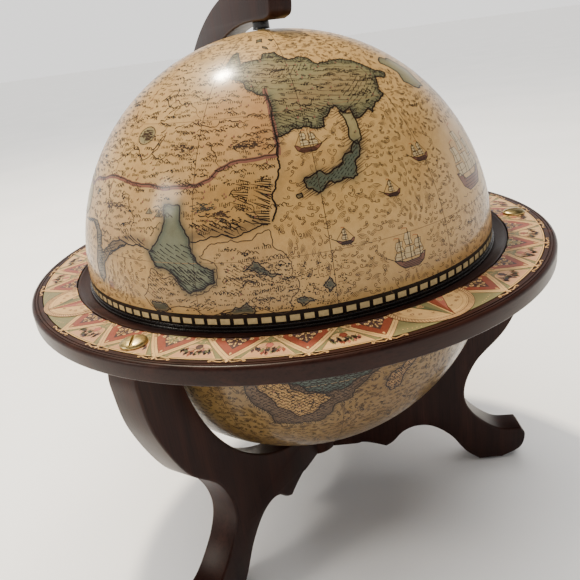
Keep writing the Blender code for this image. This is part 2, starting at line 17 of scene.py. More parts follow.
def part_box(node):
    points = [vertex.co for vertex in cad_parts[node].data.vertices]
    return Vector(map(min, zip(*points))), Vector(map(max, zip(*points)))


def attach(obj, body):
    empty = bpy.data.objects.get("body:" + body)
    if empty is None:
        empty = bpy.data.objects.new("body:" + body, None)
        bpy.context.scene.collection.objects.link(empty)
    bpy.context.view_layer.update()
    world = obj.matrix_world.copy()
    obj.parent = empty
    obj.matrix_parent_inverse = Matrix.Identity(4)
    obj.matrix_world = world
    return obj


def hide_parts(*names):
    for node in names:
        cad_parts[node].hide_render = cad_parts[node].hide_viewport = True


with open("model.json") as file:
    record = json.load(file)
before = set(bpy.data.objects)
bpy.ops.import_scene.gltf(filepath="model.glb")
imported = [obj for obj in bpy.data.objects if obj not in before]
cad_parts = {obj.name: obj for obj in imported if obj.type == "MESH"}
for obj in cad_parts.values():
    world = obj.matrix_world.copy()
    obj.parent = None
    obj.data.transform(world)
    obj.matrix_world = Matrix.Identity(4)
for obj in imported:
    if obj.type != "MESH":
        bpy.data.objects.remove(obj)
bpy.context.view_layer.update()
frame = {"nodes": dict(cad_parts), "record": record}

# ---------------------------------------------------------------- driving sizes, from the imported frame
GAP = 0.0003
DOME_LOW, DOME_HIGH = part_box("upper_dome")
BOWL_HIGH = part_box("lower_bowl")[1]
RING_LOW, RING_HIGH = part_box("horizon_ring")
PRINT_LOW, PRINT_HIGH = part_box("horizon_print")
UPPER_RIM_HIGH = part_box("upper_rim")[1]
LOWER_RIM_LOW, LOWER_RIM_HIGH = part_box("lower_rim")
HUB_LOW, HUB_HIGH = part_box("leg_hub")
ARM_LOW, ARM_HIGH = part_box("meridian_arm")
LEG_LOW, LEG_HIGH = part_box("leg_3")

R = DOME_HIGH.x                                # the sphere's radius
WALL = 0.0025
DOME_Z = DOME_LOW.z - GAP                      # centre of the upper half
BOWL_Z = BOWL_HIGH.z                           # centre of the lower half
RING_RADIUS = RING_HIGH.x
RING_TOP, RING_BOTTOM = RING_HIGH.z, RING_LOW.z
RING_BORE = R + 0.0020
PRINT_INNER = 0.1761
PRINT_OUTER = PRINT_HIGH.x + GAP
PRINT_RECESS = 0.0006
LEG_THICKNESS = LEG_HIGH.x - LEG_LOW.x
ARM_THICKNESS = ARM_HIGH.x - ARM_LOW.x
LEG_TOP = LEG_HIGH.z
SOLE_Z = LEG_LOW.z
LEG_AZIMUTHS = (210.0, 330.0, 90.0)
LEG_ARC_RADIUS = 0.1729
HUB_RADIUS = HUB_HIGH.x
BOLT_CIRCLE = 0.1914
ARM_INNER_RADIUS = 0.1709
ARM_OUTER_RADIUS = ARM_HIGH.z - DOME_Z
EDGE_ROUND = 0.0020

# Side view of a leg as (distance from the axis, height), one list for each smooth stretch.
LEG_BACK = [(0.2072, LEG_TOP), (0.2079, 0.2220), (0.2031, 0.1884), (0.1836, 0.1442),
            (0.1564, 0.1122), (0.1457, 0.0817), (0.1530, 0.0578), (0.1766, 0.0370), (0.2000, 0.0335)]
LEG_TOE = [(0.2000, 0.0335), (0.2040, 0.0250), (0.1995, 0.0105), (0.1820, SOLE_Z)]
LEG_ARCH = [(0.1600, SOLE_Z), (0.1464, 0.0130), (0.1323, 0.0325), (0.1155, 0.0455),
            (0.1000, 0.0483), (0.0867, 0.0435), (0.0767, 0.0333), (0.0693, 0.0285)]
LEG_BELLY = [(0.0693, 0.0285), (0.0566, 0.0335), (0.0462, 0.0360), (0.0400, 0.0350), (0.0150, 0.0353)]
# The arm's free end, past the pole, as (distance behind the axis, height).
ARM_NOSE = [(0.0000, ARM_HIGH.z), (-0.0170, 0.4453), (-0.0280, 0.4415), (-0.0332, 0.4350),
            (-0.0337, 0.4270), (-0.0310, 0.4207), (-0.0230, 0.4184)]

DICE = random.Random(11)


# ---------------------------------------------------------------- colours
def linear(colour):
    """Linear red, green and blue of a hex code or one grey number; other colours are passed on."""
    if isinstance(colour, (int, float)):
        return (colour, colour, colour)
    if not isinstance(colour, str):
        return colour
    parts = [int(colour[i:i + 2], 16) / 255 for i in (1, 3, 5)]
    return tuple(c / 12.92 if c <= 0.04045 else ((c + 0.055) / 1.055) ** 2.4 for c in parts)


PARCHMENT = "#dfb071"
ORANGE_TAN = "#c98a4e"
SAGE = "#8d8662"
SAGE_LIGHT = "#a2946a"
DEEP_GREEN = "#3c4a44"
BLUE_GREY = "#5f6a64"
COAST_BROWN = "#6a4f3a"
RUST = "#96543a"

INKS = {"dark": "#1d1612", "brown": "#3b2b1f", "soft": "#5a452f", "faint": "#7c613f", "rust": "#9a6038",
        "mauve": "#734a3b", "slate": "#36332a", "hull": "#6b4431", "sail": "#ad966c", "shade": "#776b50"}


# ---------------------------------------------------------------- material helpers
class Nodes:
    """Builds a material's node tree."""

    def __init__(self, name):
        self.material = bpy.data.materials.new(name)
        self.material.use_nodes = True
        self.tree = self.material.node_tree
        self.shader = self.tree.nodes["Principled BSDF"]

    def add(self, kind, **settings):
        made = self.tree.nodes.new("ShaderNode" + kind)
        for key, value in settings.items():
            setattr(made, key, value)
        return made

    def link(self, source, target):
        self.tree.links.new(source, target)

    def coords(self, attribute=None, stretch=(1, 1, 1)):
        """Coordinates in metres, from the object or from a vertex attribute, scaled by stretch."""
        if attribute:
            source = self.add("Attribute", attribute_name=attribute).outputs["Vector"]
        else:
            source = self.add("TexCoord").outputs["Object"]
        mapping = self.add("Mapping")
        mapping.inputs["Scale"].default_value = stretch
        self.link(source, mapping.inputs["Vector"])
        return mapping.outputs["Vector"]

    def noise(self, vector, scale, detail=4.0, roughness=0.55, distortion=0.0):
        made = self.add("TexNoise")
        settings = {"Scale": scale, "Detail": detail, "Roughness": roughness, "Distortion": distortion}
        for name, value in settings.items():
            made.inputs[name].default_value = value
        self.link(vector, made.inputs["Vector"])
        return made.outputs["Fac"]

    def ramp(self, value, *stops):
        """Stops are (position, colour) pairs."""
        made = self.add("ValToRGB")
        band = made.color_ramp
        while len(band.elements) < len(stops):
            band.elements.new(0.5)
        for element, (position, colour) in zip(band.elements, stops):
            element.position = position
            element.color = (*linear(colour), 1.0)
        self.link(value, made.inputs["Fac"])
        return made.outputs["Color"]

    def mix(self, a, b, amount=1.0, blend="MULTIPLY"):
        made = self.add("Mix", data_type="RGBA", blend_type=blend)
        for value, socket in ((amount, made.inputs[0]), (a, made.inputs[6]), (b, made.inputs[7])):
            if isinstance(value, bpy.types.NodeSocket):
                self.link(value, socket)
            else:
                socket.default_value = value if socket.type == "VALUE" else (*linear(value), 1.0)
        return made.outputs[2]

    def bump(self, height, strength, distance, below=None):
        made = self.add("Bump")
        made.inputs["Strength"].default_value = strength
        made.inputs["Distance"].default_value = distance
        self.link(height, made.inputs["Height"])
        if below is not None:
            self.link(below, made.inputs["Normal"])
        return made.outputs["Normal"]

    def finish(self, colour, roughness=None, normal=None, **constants):
        target = self.shader.inputs
        for value, name in ((colour, "Base Color"), (roughness, "Roughness"), (normal, "Normal")):
            if isinstance(value, bpy.types.NodeSocket):
                self.link(value, target[name])
            elif value is not None:
                target[name].default_value = value if name == "Roughness" else (*linear(value), 1.0)
        for name, value in constants.items():
            target[name.replace("_", " ")].default_value = value
        return self.material


MAP_GLOSS = {"Coat_Weight": 0.55, "Coat_Roughness": 0.16, "Coat_IOR": 1.38, "Specular_IOR_Level": 0.10}
BORDER_GLOSS = {"Coat_Weight": 0.3, "Coat_Roughness": 0.25, "Specular_IOR_Level": 0.3}


def aged(n, colour, amount=1.0):
    """Multiplies a colour by stains, mottling and paper grain."""
    where = n.coords()
    stains = n.ramp(n.noise(where, 14, 5, 0.6), (0.30, (0.80, 0.73, 0.66)), (0.52, 0.97), (0.75, 1.06))
    mottle = n.ramp(n.noise(where, 170, 6, 0.65), (0.30, (0.88, 0.85, 0.80)), (0.60, 1.03))
    grain = n.ramp(n.noise(where, 1900, 2, 0.5), (0.30, 0.90), (0.70, 1.05))
    return n.mix(n.mix(n.mix(colour, stains, amount), mottle, amount), grain, amount)


def map_print():
    """The globe's printed paper: hand-tinted washes on old parchment, under a gloss lacquer."""
    n = Nodes("map_print")
    tint = n.add("Attribute", attribute_name="wash").outputs["Color"]
    colour = n.mix(aged(n, tint), (0.61, 0.64, 0.61))
    where = n.coords()
    roughness = n.ramp(n.noise(where, 60, 4), (0.3, 0.34), (0.7, 0.46))
    normal = n.bump(n.noise(where, 35, 2), 0.12, 0.0015)
    normal = n.bump(n.noise(where, 1400, 2), 0.10, 0.0001, normal)
    return n.finish(colour, roughness, normal, **MAP_GLOSS)


def lining_paper():
    """Plain laid paper inside both halves."""
    n = Nodes("lining_paper")
    where = n.coords(stretch=(1, 1, 8))
    fibres = n.noise(where, 240, 6, 0.7)
    colour = n.mix(aged(n, "#b5905f"), n.ramp(fibres, (0.35, 0.86), (0.65, 1.05)))
    return n.finish(colour, 0.62, n.bump(fibres, 0.3, 0.0002))


def ink(name, colour, gloss):
    """A thin printed line. Its colour is even, as printer's ink is; the lacquer is that of its ground."""
    return Nodes("ink_" + name).finish(colour, 0.42, **gloss)


def printed(name, code):
    """A printed, slightly worn area of the horizon border."""
    n = Nodes("border_" + name)
    where = n.coords()
    roughness = n.ramp(n.noise(where, 90, 3), (0.3, 0.30), (0.7, 0.44))
    colour = n.mix(aged(n, code, 0.8), (0.80, 0.74, 0.68))
    return n.finish(colour, roughness, n.bump(n.noise(where, 900, 3), 0.12, 0.0001), **BORDER_GLOSS)


def stained_wood():
    """Dark stained, lacquered wood; the grain runs along the second axis of the grain attribute."""
    n = Nodes("stained_wood")
    board = n.coords("grain", (46, 3.2, 46))
    figure = n.noise(board, 1.0, 6, 0.62, 0.9)
    pores = n.noise(n.coords("grain", (900, 26, 900)), 1.0, 3, 0.6)
    colour = n.ramp(figure, (0.28, "#1a0b08"), (0.50, "#25120d"), (0.74, "#331b14"))
    colour = n.mix(colour, n.ramp(pores, (0.34, 0.60), (0.50, 1.0)))
    edges = n.add("NewGeometry").outputs["Pointiness"]
    worn = n.ramp(edges, (0.53, 0.0), (0.62, 0.5))
    colour = n.mix(colour, "#4a2c21", worn, "MIX")
    roughness = n.ramp(figure, (0.3, 0.36), (0.7, 0.50))
    normal = n.bump(pores, 0.25, 0.0003)
    normal = n.bump(n.noise(n.coords("grain", (120, 30, 120)), 1.0, 2), 0.12, 0.0006, normal)
    return n.finish(colour, roughness, normal, Coat_Weight=0.5, Coat_Roughness=0.32, Coat_IOR=1.26,
                    Specular_IOR_Level=0.05)


def black_plastic(name, coat):
    n = Nodes(name)
    where = n.coords()
    colour = n.ramp(n.noise(where, 80, 4), (0.3, "#0d0a09"), (0.7, "#1b1512"))
    scuffs = n.noise(n.coords(stretch=(1, 1, 12)), 260, 3, 0.7)
    return n.finish(colour, n.ramp(scuffs, (0.35, 0.20), (0.7, 0.34)), n.bump(scuffs, 0.06, 0.0001),
                    Coat_Weight=coat, Coat_Roughness=0.1, Specular_IOR_Level=0.35)


def metal(name, dark, light, roughness, brushing=(60, 60, 60)):
    """Metal with cloudy tarnish and fine rubbed scratches."""
    n = Nodes(name)
    cloud = n.noise(n.coords(), 320, 5, 0.6)
    scratches = n.noise(n.coords(stretch=brushing), 60, 3, 0.6)
    colour = n.ramp(cloud, (0.30, dark), (0.68, light))
    rough = n.ramp(scratches, (0.3, roughness - 0.08), (0.7, roughness + 0.10))
    return n.finish(colour, rough, n.bump(scratches, 0.10, 0.00008), Metallic=1.0)


def fibre(name, dark, light, scale, roughness, stretch=(1, 1, 1), strength=0.6):
    """Felt, plain wood or nylon: a fibrous or mottled matt surface."""
    n = Nodes(name)
    threads = n.noise(n.coords(stretch=stretch), scale, 6, 0.7)
    colour = n.ramp(threads, (0.32, dark), (0.68, light))
    return n.finish(colour, roughness, n.bump(threads, strength, 0.0004))


MAP = map_print()
LINING = lining_paper()
WOOD = stained_wood()
BLACK = black_plastic("black_plastic", 0.3)
DULL_BLACK = black_plastic("dull_black_plastic", 0.0)
BRASS = metal("brass", "#8c7a4c", "#d9c48c", 0.34)
STEEL = metal("steel", "#77787a", "#a9aaab", 0.36)
FELT = fibre("felt", "#16221a", "#31402f", 1500, 0.95)
DOWEL = fibre("dowel_wood", "#a97b4b", "#d2a671", 120, 0.62, (1, 1, 6))
NYLON = fibre("nylon", "#cfcabd", "#e3dfd4", 90, 0.45, strength=0.1)
MAP_INKS = {name: ink("map_" + name, colour, MAP_GLOSS) for name, colour in INKS.items()}
BORDER_PRINTS = {name: printed(name, code) for name, code in (
    ("cream", "#dcb67a"), ("red", "#8d4532"), ("sage", "#7f7c54"), ("plum", "#4b3637"), ("pink", "#c99a72"),
    ("rose", "#b0685a"), ("buff", "#d6b07a"), ("olive", "#5d6445"), ("night", "#3a3440"))}
for name, code in (("line", "#6e4a31"), ("dark", "#33221b")):
    BORDER_PRINTS[name] = ink("border_" + name, code, BORDER_GLOSS)


# ---------------------------------------------------------------- mesh helpers
def new_piece(name, mesh, body, replaced=()):
    piece = show(mesh, name)
    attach(piece, body)
    if replaced:
        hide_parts(*replaced)
    return piece


def smooth(mesh, sharp=35.0):
    mesh.shade_smooth()
    mesh.set_sharp_from_angle(angle=math.radians(sharp))


def show(data, name):
    """A new object in the scene."""
    made = bpy.data.objects.new(name, data)
    bpy.context.scene.collection.objects.link(made)
    return made


def evaluated(obj):
    """The object's mesh with its modifiers or curve settings applied; the object is removed."""
    bpy.context.view_layer.update()
    graph = bpy.context.evaluated_depsgraph_get()
    mesh = bpy.data.meshes.new_from_object(obj.evaluated_get(graph), depsgraph=graph)
    bpy.data.objects.remove(obj)
    return mesh


def set_grain(mesh, points):
    """Stores each vertex's place in its board, with the grain along the second axis."""
    attribute = mesh.attributes.new("grain", "FLOAT_VECTOR", "POINT")
    attribute.data.foreach_set("vector", np.asarray(points, np.float32).ravel())


def rounded(profile, radius, steps=4):
    """Rounds the corners of a closed (radius, height) outline."""
    out = []
    for i, corner in enumerate(profile):
        before, here, after = Vector(profile[i - 1]), Vector(corner), Vector(profile[(i + 1) % len(profile)])
        a, b = before - here, after - here
        cut = min(radius, a.length * 0.45, b.length * 0.45)
        start, end = here + a.normalized() * cut, here + b.normalized() * cut
        for k in range(steps + 1):
            t = k / steps
            out.append(tuple(start * (1 - t) ** 2 + here * 2 * t * (1 - t) + end * t * t))
    return out


def lathe(name, profile, steps, materials, tones=None, sharp=35.0):
    """A closed ring turned from a closed outline that runs down its outer side."""
    turns = np.arange(steps) * 2 * math.pi / steps
    outline = np.array(profile, float)
    count = len(outline)
    points = np.empty((steps, count, 3))
    points[..., 0] = np.cos(turns)[:, None] * outline[:, 0]
    points[..., 1] = np.sin(turns)[:, None] * outline[:, 0]
    points[..., 2] = outline[:, 1]
    i, j = np.meshgrid(np.arange(steps), np.arange(count), indexing="ij")
    i2, j2 = (i + 1) % steps, (j + 1) % count
    faces = np.stack([i * count + j, i * count + j2, i2 * count + j2, i2 * count + j], -1).reshape(-1, 4)
    mesh = bpy.data.meshes.new(name)
    mesh.from_pydata(points.reshape(-1, 3), [], faces)
    for material in materials:
        mesh.materials.append(material)
    if tones is not None:
        mesh.polygons.foreach_set("material_index", np.tile(np.asarray(tones, np.int32), steps))
    smooth(mesh, sharp)
    return mesh


def disc(profile, steps=64, place=(0, 0, 0)):
    """A solid turned from an open outline that starts and ends on the axis, as a bmesh."""
    work = bmesh.new()
    top, bottom = work.verts.new((0, 0, profile[0][1])), work.verts.new((0, 0, profile[-1][1]))
    rows = []
    for radius, height in profile[1:-1]:
        rows.append([work.verts.new((radius * math.cos(a), radius * math.sin(a), height))
                     for a in (2 * math.pi * k / steps for k in range(steps))])
    for k in range(steps):
        n = (k + 1) % steps
        work.faces.new((top, rows[0][k], rows[0][n]))
        work.faces.new((bottom, rows[-1][n], rows[-1][k]))
        for upper, lower in zip(rows, rows[1:]):
            work.faces.new((upper[k], lower[k], lower[n], upper[n]))
    bmesh.ops.translate(work, verts=work.verts, vec=place)
    return work


def to_mesh(work, name, material, sharp=35.0):
    mesh = bpy.data.meshes.new(name)
    work.to_mesh(mesh)
    work.free()
    mesh.materials.append(material)
    smooth(mesh, sharp)
    return mesh


def smooth_through(knots, steps):
    """Points on a Catmull-Rom curve through the knots, both ends included."""
    before = tuple(2 * a - b for a, b in zip(knots[0], knots[1]))
    after = tuple(2 * a - b for a, b in zip(knots[-1], knots[-2]))
    line = [before] + list(knots) + [after]
    points = []
    for i in range(1, len(line) - 2):
        p0, p1, p2, p3 = line[i - 1:i + 3]
        for k in range(steps):
            t = k / steps
            points.append(tuple(
                0.5 * (2 * b + (c - a) * t + (2 * a - 5 * b + 4 * c - d) * t * t
                       + (3 * b - a - 3 * c + d) * t ** 3)
                for a, b, c, d in zip(p0, p1, p2, p3)))
    points.append(tuple(knots[-1]))
    return points


def arc(centre, radius, start, end, steps):
    """Points on a circular arc; the angles are in degrees."""
    turns = [math.radians(start + (end - start) * k / steps) for k in range(steps + 1)]
    return [(centre[0] + radius * math.cos(a), centre[1] + radius * math.sin(a)) for a in turns]


def board(name, outline, thickness, azimuth, body, node):
    """A sawn board standing in a vertical plane through the axis, with its long edges rounded."""
    curve = bpy.data.curves.new(name, "CURVE")
    curve.dimensions = "2D"
    curve.fill_mode = "BOTH"
    curve.extrude = thickness / 2 - EDGE_ROUND
    curve.bevel_depth = EDGE_ROUND
    curve.bevel_resolution = 4
    curve.offset = -EDGE_ROUND
    line = curve.splines.new("POLY")
    line.points.add(len(outline) - 1)
    for point, (across, up) in zip(line.points, outline):
        point.co = (across, up, 0.0, 1.0)
    line.use_cyclic_u = True
    mesh = evaluated(show(curve, "sawn_" + name))
    work = bmesh.new()
    work.from_mesh(mesh)
    bmesh.ops.remove_doubles(work, verts=work.verts, dist=0.00001)
    work.to_mesh(mesh)
    work.free()
    mesh.materials.clear()
    mesh.materials.append(WOOD)
    shift = 0.37 * azimuth
    set_grain(mesh, [(v.co.x + shift, v.co.y, v.co.z) for v in mesh.vertices])
    stand_up = Matrix.Rotation(math.radians(90.0), 4, "X")
    mesh.transform(Matrix.Rotation(math.radians(azimuth), 4, "Z") @ stand_up)
    smooth(mesh, 32.0)
    return new_piece(name, mesh, body, [node])


# ---------------------------------------------------------------- artwork laid on a surface
LAYER = 0.00004                 # how far each printed layer stands above the one below
INK_UNIT = 0.00001              # line widths are given in hundredths of a millimetre


def on_sphere(centre_z):
    """Takes longitude and latitude in degrees, and a lift, to a point on the globe."""
    def place(lon, lat, lift):
        a, b, radius = np.radians(lon), np.radians(lat), R + lift
        return np.stack([radius * np.cos(b) * np.cos(a), radius * np.cos(b) * np.sin(a),
                         centre_z + radius * np.sin(b)], -1)
    return place


def on_ring(angle, radius, lift):
    """Takes an angle in degrees and a radius in sphere radii to a point on the horizon ring's top."""
    a, r = np.radians(angle), np.asarray(radius) * R
    return np.stack([r * np.cos(a), r * np.sin(a), np.full_like(r, RING_TOP) + lift], -1)


class Pen:
    """Draws on a sheet in a small drawing's own coordinates."""

    def __init__(self, sheet, put):
        self.sheet, self.put = sheet, put

    def line(self, points, *style, **more):
        self.sheet.line(self.put(points), *style, **more)

    def loop(self, points, *style):
        self.line(points, *style, closed=True)

    def fill(self, points, *style):
        self.sheet.fill(self.put(points), *style)


class Sheet(Pen):
    """Collects ribbons and filled shapes, and lays them on a surface as one piece."""

    def __init__(self, place, step, pen=1.0):
        self.place, self.step, self.pen = place, step, pen
        self.points, self.faces, self.tones, self.names = [], [], [], []
        self.count = 0

    def at(self, lon, lat, size=1.0, turn=0.0, flip=1.0):
        """A pen for a small drawing at a longitude and latitude."""
        c, s = math.cos(math.radians(turn)), math.sin(math.radians(turn))
        squash = math.cos(math.radians(lat))
        return Pen(self, lambda points: [(lon + flip * size * (x * c - y * s) / squash,
                                          lat + size * (x * s + y * c)) for x, y in points])

    def along(self, angle, flip=1):
        """A pen that is moved round the ring, and mirrored when flip is -1."""
        return Pen(self, lambda points: [(flip * x + angle, y) for x, y in points])

    def tone_index(self, tone):
        if tone not in self.names:
            self.names.append(tone)
        return self.names.index(tone)

    def line(self, points, width, tone, level=2, closed=False, taper=False):
        path = np.array(points, float)
        if closed:
            path = np.vstack([path, path[:1]])
        parts = [path[:1]]
        for a, b in zip(path, path[1:]):
            cuts = max(1, int(math.ceil(np.abs(b - a).max() / self.step)))
            parts.append(a + (b - a) * (np.arange(1, cuts + 1) / cuts)[:, None])
        path = np.vstack(parts)
        low = self.place(path[:, 0], path[:, 1], level * LAYER)
        up = self.place(path[:, 0], path[:, 1], level * LAYER + 0.001) - low
        side = np.cross(up, np.gradient(low, axis=0))
        side /= np.linalg.norm(side, axis=1)[:, None] + 1e-12
        half = np.full(len(path), width * INK_UNIT * self.pen / 2)
        if taper:
            half *= 1.0 - 0.75 * np.linspace(0, 1, len(path)) ** 1.5
        self.points += [low - side * half[:, None], low + side * half[:, None]]
        n, start = len(path), self.count
        self.faces += [(start + i, start + i + 1, start + n + i + 1, start + n + i) for i in range(n - 1)]
        self.tones += [self.tone_index(tone)] * (n - 1)
        self.count += 2 * n

    def fill(self, points, tone, level=1):
        flat = [Vector((*p, 0.0)) for p in points]
        queue = [tuple(flat[i] for i in corner) for corner in tessellate_polygon([flat])]
        done = []
        while queue:
            tri = queue.pop()
            sides = [(tri[i] - tri[i - 1]).length for i in range(3)]
            longest = max(sides)
            if longest <= 2.2 * self.step:
                done.append(tri)
                continue
            i = sides.index(longest)
            a, b, c = tri[i - 1], tri[i], tri[(i + 1) % 3]
            middle = (a + b) / 2
            queue += [(a, middle, c), (middle, b, c)]
        corners = np.array([[p[:2] for p in tri] for tri in done], float).reshape(-1, 2)
        laid = self.place(corners[:, 0], corners[:, 1], level * LAYER)
        up = self.place(corners[::3, 0], corners[::3, 1], level * LAYER + 0.001) - laid[::3]
        facing = np.cross(laid[1::3] - laid[::3], laid[2::3] - laid[::3])
        flip = (facing * up).sum(1) < 0
        for k, turned_over in enumerate(flip):
            a = self.count + 3 * k
            self.faces.append((a, a + 2, a + 1) if turned_over else (a, a + 1, a + 2))
        self.tones += [self.tone_index(tone)] * len(flip)
        self.points.append(laid)
        self.count += len(laid)

    def build(self, name, body, slot, palette):
        mesh = bpy.data.meshes.new(name)
        mesh.from_pydata(np.vstack(self.points), [], self.faces)
        for tone in self.names:
            mesh.materials.append(palette[tone])
        mesh.polygons.foreach_set("material_index", self.tones)
        mesh.update()
        return new_piece(name, mesh, body)


def oval(x, y, wide, high, count):
    turns = [2 * math.pi * k / count for k in range(count)]
    return [(x + wide * math.cos(a), y + high * math.sin(a)) for a in turns]


def volute(x, y, size, start, sweep, count, lost, stretch=1.0):
    """A spiral that winds in through an angle in degrees, losing a share of its size."""
    out = []
    for k in range(count):
        t = k / (count - 1)
        a, reach = math.radians(start + sweep * t), size * (1 - lost * t)
        out.append((x + stretch * reach * math.cos(a), y + reach * math.sin(a)))
    return out


# ---------------------------------------------------------------- the map's outlines, as (longitude, latitude)
GULF = [(-147.3, 26.3), (-143, 26), (-142.5, 22), (-140.5, 19.5), (-139.8, 16), (-138.5, 14), (-135, 12.5),
        (-134.8, 10), (-137.5, 8.6), (-141, 7.5), (-143.5, 9.5), (-145.5, 12), (-149.5, 13), (-151.5, 16),
        (-149, 18.5), (-147.7, 20.5)]
SOUTH_COAST = [(-212, 19), (-184, 19.5), (-178, 20.3), (-174.5, 18.5), (-173.5, 15), (-174.3, 11),
               (-173, 7.5), (-171, 6.3), (-169.3, 8), (-169.5, 11), (-167, 13.5), (-163, 15.5),
               (-159, 17.3), (-155, 17.3), (-151.5, 16.5)]
SHORE = [(-140, 18.5), (-135, 19.5), (-130, 19), (-125, 20.5), (-122, 21)]
EAST_COAST = [(-119.8, 24), (-120.5, 26), (-119.5, 28), (-118.8, 30), (-117.9, 33), (-118.2, 35),
              (-117.7, 37), (-118, 40), (-118, 46), (-119, 52), (-121, 60)]
NORTH_SHORE = [(-130, 61), (-136, 66), (-150, 63), (-165, 68), (-185, 64), (-212, 66)]
WEST_LAND = SOUTH_COAST + SHORE + EAST_COAST + NORTH_SHORE
SPECKLED_LAND = [(-151, 12.5), (-145, 11), (-143, 8.5), (-141, 7), (-137, 8), (-134.5, 9.5), (-134, 13),
                 (-138, 15.5), (-135, 18), (-129, 18), (-125, 19), (-122, 20), (-121, 16), (-118, 13),
                 (-117, 8), (-119, 3), (-135, 3), (-150, 3), (-154, 6)]
DARK_CAPE = [(-184, 20), (-178, 20.5), (-174.5, 18.5), (-173.5, 15), (-174.3, 11), (-173, 7.5), (-171, 6.3),
             (-169.3, 8), (-169.5, 11), (-167, 13.5), (-163, 15.5), (-159, 17.3), (-163, 17.4),
             (-167, 15.6), (-170, 13.6), (-171.3, 15), (-171.3, 18.3), (-175, 20.6)]
LEFT_SEA = [(-200, 31.5), (-191, 31.5), (-186.5, 29.5), (-183.5, 26), (-184, 22), (-187, 20.3), (-200, 20)]
ORANGE_LAND = [(-140, 62), (-128, 62), (-120, 61), (-118.3, 55), (-118.2, 35), (-125, 34.7), (-130, 34.4),
               (-133.3, 33.1), (-135.6, 31.1), (-139, 30.1), (-141, 45)]
NORTH_LAND = [(-137, 61), (-136, 66), (-134, 67), (-131.5, 64), (-130, 61), (-125, 62), (-120, 62.5),
              (-119.5, 64.5), (-113, 65), (-110, 62), (-103, 61.5), (-99, 60.5), (-98, 58.5), (-96, 57.5),
              (-90, 58.5), (-84, 58), (-78, 55.5), (-74, 52), (-70, 51), (-73, 49.5), (-77, 50.5),
              (-79, 48.5), (-81, 46.5), (-80, 45.3), (-82, 44.5), (-86, 43), (-88.5, 41), (-89, 42.5),
              (-92, 41), (-95, 40.5), (-95, 43.5), (-97.5, 42.5), (-99, 44.5), (-101, 44), (-104, 42),
              (-104.5, 39.8), (-107, 39.8), (-110.5, 40.5), (-113, 40.5), (-116, 39.3), (-118, 39),
              (-118.2, 45), (-119, 50), (-123, 51), (-128, 55)]
PENINSULA = [(-98.8, 43), (-98.8, 36), (-97, 34.5), (-95.5, 36), (-95, 42)]
ISLES = [(-112.5, 29.5), (-110, 30), (-107, 29.5), (-104.5, 30.5), (-102.5, 31.5), (-101.5, 33),
         (-99.5, 33), (-97, 35.5), (-97.5, 33), (-99.5, 31), (-100, 28), (-102.5, 28), (-104.5, 27.5),
         (-107, 28), (-110, 26), (-112.5, 27.5)]
FAR_ISLE = [(-66, 54), (-60, 56), (-54, 55), (-51, 50), (-54, 44), (-60, 44), (-65, 47), (-62, 50)]
SMALL_ISLES = [[(-128.5, 12), (-126, 14), (-124.5, 12.8), (-120.5, 10.7), (-122, 10.5), (-125, 11)],
               [(-134.5, 3), (-131, 4.5), (-128.5, 5.5), (-127, 4), (-127, 2.9), (-133, 2.9)],
               [(-115, 26.3), (-113.8, 26.5), (-113.6, 25.6), (-114.8, 25.5)],
               [(-152, 4.6), (-149, 4.9), (-146.5, 3.6), (-148.5, 3), (-151, 3.2)],
               [(-118, 4.9), (-115.5, 5), (-114.3, 4.2), (-117, 3.5)],
               [(-112, 7.2), (-110.5, 8.6), (-109.5, 7), (-111, 5.6)],
               [(-123, 73.5), (-119, 73.6), (-119, 71.2), (-123, 71)],
               [(-114, 72.6), (-110, 72.2), (-112, 71.2)],
               [(-119, 68.8), (-116.5, 67.8), (-116, 66.6), (-118.5, 67.4)]]
RED_ISLE = [(-168, 7.4), (-166, 7.4), (-165.3, 5.8), (-167.5, 5.2)]
BORDERS = [[(-196, 29), (-185, 28.5), (-181, 30.3), (-175, 30.8), (-170, 31.7), (-164.4, 31.4), (-160, 30.6),
            (-152, 30.3), (-148.3, 29.7), (-144.4, 30), (-138.9, 30.1), (-135.6, 31.1), (-133.3, 33.1),
            (-130, 34.4), (-125, 34.7), (-120, 35), (-117.8, 35)],
           [(-117.9, 35), (-117.8, 38), (-118, 42), (-118.6, 47), (-119.6, 52)]]

